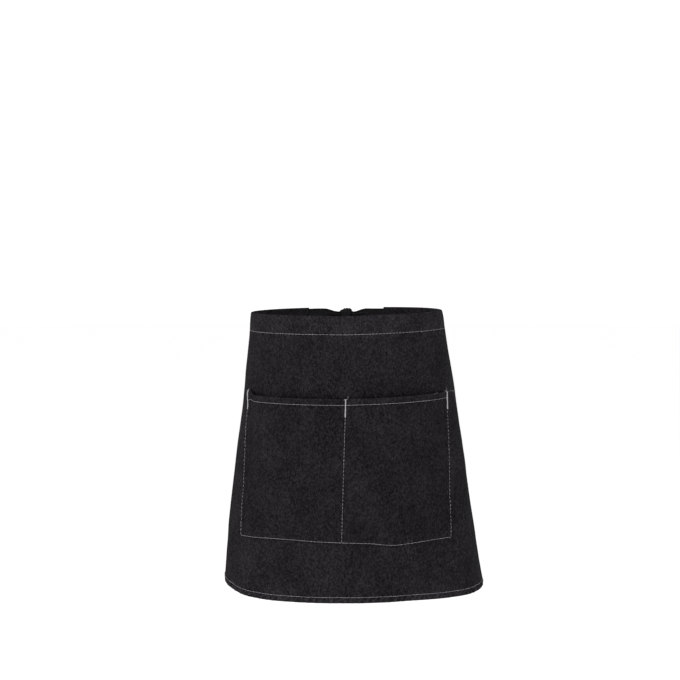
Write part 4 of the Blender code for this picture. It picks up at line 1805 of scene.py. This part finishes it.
    def loop(self, side: int, name: str, node: str) -> Object:
        """A loop of the bow: a drop shape that leaves the knot's side, bends down and comes back.

        The reach is a cosine of the turn and the spread a sine that narrows towards the knot. The
        reach is then laid along an arc that bends down by the droop.
        """
        turn = np.linspace(self.loop_start, 2 * np.pi - self.loop_start, self.loop_points)
        reach = self.loop_length * (1 - np.cos(turn)) / 2
        spread = self.loop_opening * self.loop_fullness * np.sin(turn) * (1 - np.cos(turn)) / 2
        neck = self.loop_play * self.drape.tape * np.sign(np.pi - turn) * np.cos(turn / 2) ** 2
        reach = reach - reach[0]
        bend = self.loop_droop / self.loop_length
        sag = bend * reach
        line = np.stack([side * np.sin(sag) / bend, spread + neck, (np.cos(sag) - 1) / bend], axis=-1)
        up = np.stack([side * np.sin(sag), 0 * turn, np.cos(sag)], axis=-1)
        beside = side * (self.knot_width / 2 - self.loop_sunk)
        start = self.knot_centre() + np.array([beside, self.loop_setback * self.knot_depth, 0])
        return self.ribbon(name, node, start + line, up, self.width(reach))

    def tail(self, side: int, name: str, node: str) -> Object:
        """A hanging end: a quarter sine of splay, a growing wave in depth and a slow twist."""
        share = np.linspace(0, 1, self.tail_points)
        beside = side * self.tail_place * self.neck_width
        start = self.knot_centre() + np.array([beside, 0, self.sunk - self.knot_height / 2])
        x = side * self.tail_splay * np.sin(share * np.pi / 2)
        y = self.tail_wave * np.sin(2 * np.pi * share * self.tail_waves) * share
        middle = start + np.stack([x, y, -(self.tail_length + self.sunk) * share], axis=-1)
        twist = side * self.tail_twist * np.sin(share * np.pi * self.twist_share)
        across = np.stack([np.cos(twist), np.sin(twist), 0 * share], axis=-1)
        return self.ribbon(name, node, middle, across, self.width(self.tail_length * share))

    def rounded(self, value: Array) -> Array:
        """A sine or cosine drawn towards a box with round corners: its size to a power below one."""
        return np.sign(value) * np.abs(value) ** self.roundness

    def heart(self) -> Shape:
        """The gathered heart of the knot: a superellipsoid with creases across it."""
        along = np.linspace(-1, 1, self.heart_rings)[:, None]
        turn = np.linspace(0, 2 * np.pi, self.heart_points, endpoint=False)[None, :]
        swell = np.maximum(1 - np.abs(along) ** self.heart_power, self.heart_end) ** 0.5
        deeper = self.crease_middle + (1 - self.crease_middle) * np.abs(along)
        crease = 1 + self.crease * np.cos(self.creases * turn + self.crease_lean * along) * deeper
        size = self.heart_size / 2 * swell * crease
        x = self.knot_width / 2 * along
        y = self.knot_depth * size * self.rounded(np.cos(turn))
        z = self.knot_height * size * self.rounded(np.sin(turn))
        points = self.knot_centre() + np.stack(together(x, y, z), axis=-1)
        faces = closed_walk(self.heart_rings, self.heart_points)
        return Shape(points.reshape(-1, 3), faces, flat_places(turn * self.knot_depth / 2, x))

    def wrap(self) -> Shape:
        """The tape round the knot: a closed band whose pleats run along it and whose line leans a little."""
        around = np.linspace(0, 2 * np.pi, self.wrap_rings, endpoint=False)[:, None]
        half_turn = np.linspace(self.wrap_turn, np.pi - self.wrap_turn, self.wrap_points)
        t = np.concatenate([-np.cos(half_turn), np.cos(half_turn)])[None, :]
        over = np.minimum(1, self.wrap_roundness * np.sin(half_turn))
        over = np.concatenate([over, 0 * half_turn])[None, :]
        half_width = self.wrap_half_width * (1 + self.wrap_play * np.cos(2 * around + self.wrap_phase))
        pleat = self.wide_pleat * np.cos(self.wide_pleats * np.pi * t + self.wide_pleat_sway * np.sin(around))
        pleat = pleat + self.fine_pleat * np.cos(self.fine_pleats * np.pi * t + 2 * around)
        lift = over * self.drape.tape * self.wrap_thickness + pleat * np.maximum(over, self.pleat_inside)
        lift = lift - self.wrap_sunk * t**4
        x = half_width * t + self.wrap_lean * np.sin(around)
        y = (self.wrap_size * self.knot_depth / 2 + lift) * self.rounded(np.cos(around))
        z = (self.wrap_size * self.knot_height / 2 + lift) * self.rounded(np.sin(around))
        points = self.knot_centre() + np.stack([x, y, z], axis=-1)
        count = t.shape[1]
        quads = band(self.wrap_rings + 1, np.arange(count), count) % (self.wrap_rings * count)
        uv = flat_places(half_width * t * self.wrap_stretch, around * self.knot_height / 2)
        return Shape(points.reshape(-1, 3), [quads], uv)

    def knot(self) -> list[Object]:
        """The knot: its heart, and the tape that wraps it from front to back."""
        pieces = [
            self.heart().object("knot_heart", self.finish),
            self.wrap().object("knot_wrap", self.finish),
        ]
        for piece in pieces:
            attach(piece, BODY)
            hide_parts("bow_knot")
        return pieces

    def build(self) -> list[Object]:
        """Make the ties, the knot, the loops and the tails.

        Returns:
            The pieces.
        """
        pieces = self.knot()
        for side, word in ((-1, "left"), (1, "right")):
            pieces.append(self.tie(side, f"waist_tie_{word}", f"tie_{word}"))
            pieces.append(self.loop(side, f"loop_{word}", f"bow_loop_{word}"))
            pieces.append(self.tail(side, f"tail_{word}", f"tie_tail_{word}"))
        return pieces


class Lamp(NamedTuple):
    """A square area light: its name, where it stands, its side in metres and its power in watts."""

    name: str
    place: Triple
    size: float
    power: float


LAMPS = (
    Lamp("key", (-2.3, -1.9, 1.6), 1.2, 42.0),
    Lamp("fill", (1.9, -2.3, 1.3), 1.6, 17.0),
    Lamp("top", (0.0, -0.3, 2.4), 1.6, 16.0),
)


@dataclass
class Studio:
    """The pale floor, the soft lights and the camera."""

    white: Colour = (1.0, 1.0, 1.0, 1.0)
    floor_drop: float = 0.95
    floor_rings: tuple[float, ...] = (0.5, 2.0, 6.0, 14.0)
    floor_points: int = 96
    floor_colour: Colour = (0.70, 0.70, 0.70, 1.0)
    floor_roughness: float = 0.9
    floor_glow: float = 0.76
    surround_light: float = 0.32
    surround_seen: float = 1.1
    aim: Triple = (0.0, 0.0, -0.2)
    camera_place: Triple = (-0.0105, -2.70, 0.1818)
    camera_pitch: float = 4.496
    camera_lens: float = 87.77
    sensor: float = 36.0

    def floor(self) -> Object:
        """A wide disc of rings, plain white, below the hem, which faces up."""
        rings, count = len(self.floor_rings), self.floor_points
        turn = np.linspace(0, 2 * np.pi, count, endpoint=False)
        radius = np.array(self.floor_rings)[:, None]
        points = np.stack(together(radius * np.cos(turn), radius * np.sin(turn), -self.floor_drop), axis=-1)
        loop = np.arange(count)
        faces = band(rings, loop, count)[:, ::-1].tolist() + [loop.tolist()]
        mesh = bpy.data.meshes.new("floor")
        mesh.from_pydata(points.reshape(-1, 3).tolist(), [], faces)
        graph = Graph("floor_white")
        graph.shader.inputs["Base Color"].default_value = self.floor_colour
        graph.shader.inputs["Roughness"].default_value = self.floor_roughness
        graph.shader.inputs["Emission Color"].default_value = self.white
        graph.shader.inputs["Emission Strength"].default_value = self.floor_glow
        mesh.materials.append(graph.material)
        disc = linked("floor", mesh)
        return disc

    def light(self, lamp: Lamp) -> Object:
        """A square area light that looks at the apron."""
        data = bpy.data.lights.new(lamp.name, "AREA")
        data.shape = "SQUARE"
        data.size = lamp.size
        data.energy = lamp.power
        holder = linked(lamp.name, data)
        holder.location = lamp.place
        holder.rotation_euler = direction(np.array(self.aim) - np.array(lamp.place))
        return holder

    def world(self) -> None:
        """A white surround that lights softly, and that the camera sees brighter."""
        world = bpy.data.worlds.new("white_surround")
        world.use_nodes = True
        tree = world.node_tree
        lit = tree.nodes["Background"]
        seen = tree.nodes.new("ShaderNodeBackground")
        for background, strength in ((lit, self.surround_light), (seen, self.surround_seen)):
            background.inputs["Color"].default_value = self.white
            background.inputs["Strength"].default_value = strength
        path = tree.nodes.new("ShaderNodeLightPath")
        mix = tree.nodes.new("ShaderNodeMixShader")
        for k, socket in enumerate((path.outputs["Is Camera Ray"], lit.outputs[0], seen.outputs[0])):
            tree.links.new(socket, mix.inputs[k])
        tree.links.new(mix.outputs[0], tree.nodes["World Output"].inputs[0])
        bpy.context.scene.world = world

    def camera(self) -> Object:
        """The camera at the photograph's viewing angle, level from side to side."""
        lens = bpy.data.cameras.new("camera")
        lens.lens = self.camera_lens
        lens.sensor_width = self.sensor
        holder = linked("camera", lens)
        holder.location = self.camera_place
        holder.rotation_euler = (np.radians(90.0 - self.camera_pitch), 0.0, 0.0)
        bpy.context.scene.camera = holder
        return holder

    def build(self) -> None:
        """Make the floor, the lights, the surround and the camera."""
        bpy.context.scene.view_settings.view_transform = "Standard"
        self.floor()
        for lamp in LAMPS:
            self.light(lamp)
        self.world()
        self.camera()


def direction(aim: Array) -> Triple:
    """Euler angles that turn a light's -Z axis along the aim, by a tilt from straight down and a turn."""
    flat = float(np.hypot(aim[0], aim[1]))
    tilt = float(np.arctan2(flat, -aim[2]))
    turn = float(np.arctan2(aim[1], aim[0])) - np.pi / 2
    return tilt, 0.0, turn


def report(piece: Object) -> None:
    """Say what a piece is made of."""
    LOG.info("%s: %d faces", piece.name, len(piece.data.polygons))


def main() -> None:
    """Dress the frame: cloth, stitches, bow and studio, in that order."""
    logging.basicConfig(level=logging.INFO, format="%(message)s")
    cloth = Cloth(Drape())
    denim = Denim("denim", colour=(0.0176, 0.0160, 0.0185)).make()
    pocket_denim = Denim("pocket_denim", colour=(0.0160, 0.0146, 0.0170)).make()
    panel = Panel(cloth, denim)
    report(panel.build())
    pocket = Pocket(cloth, panel, pocket_denim)
    report(pocket.build())
    for piece in Stitching(cloth, panel, pocket, Thread().make()).build():
        report(piece)
    for piece in Bow(cloth.drape, TapeWeave().make()).build():
        report(piece)
    Studio().build()
    bpy.context.view_layer.update()


if __name__ == "__main__":
    main()
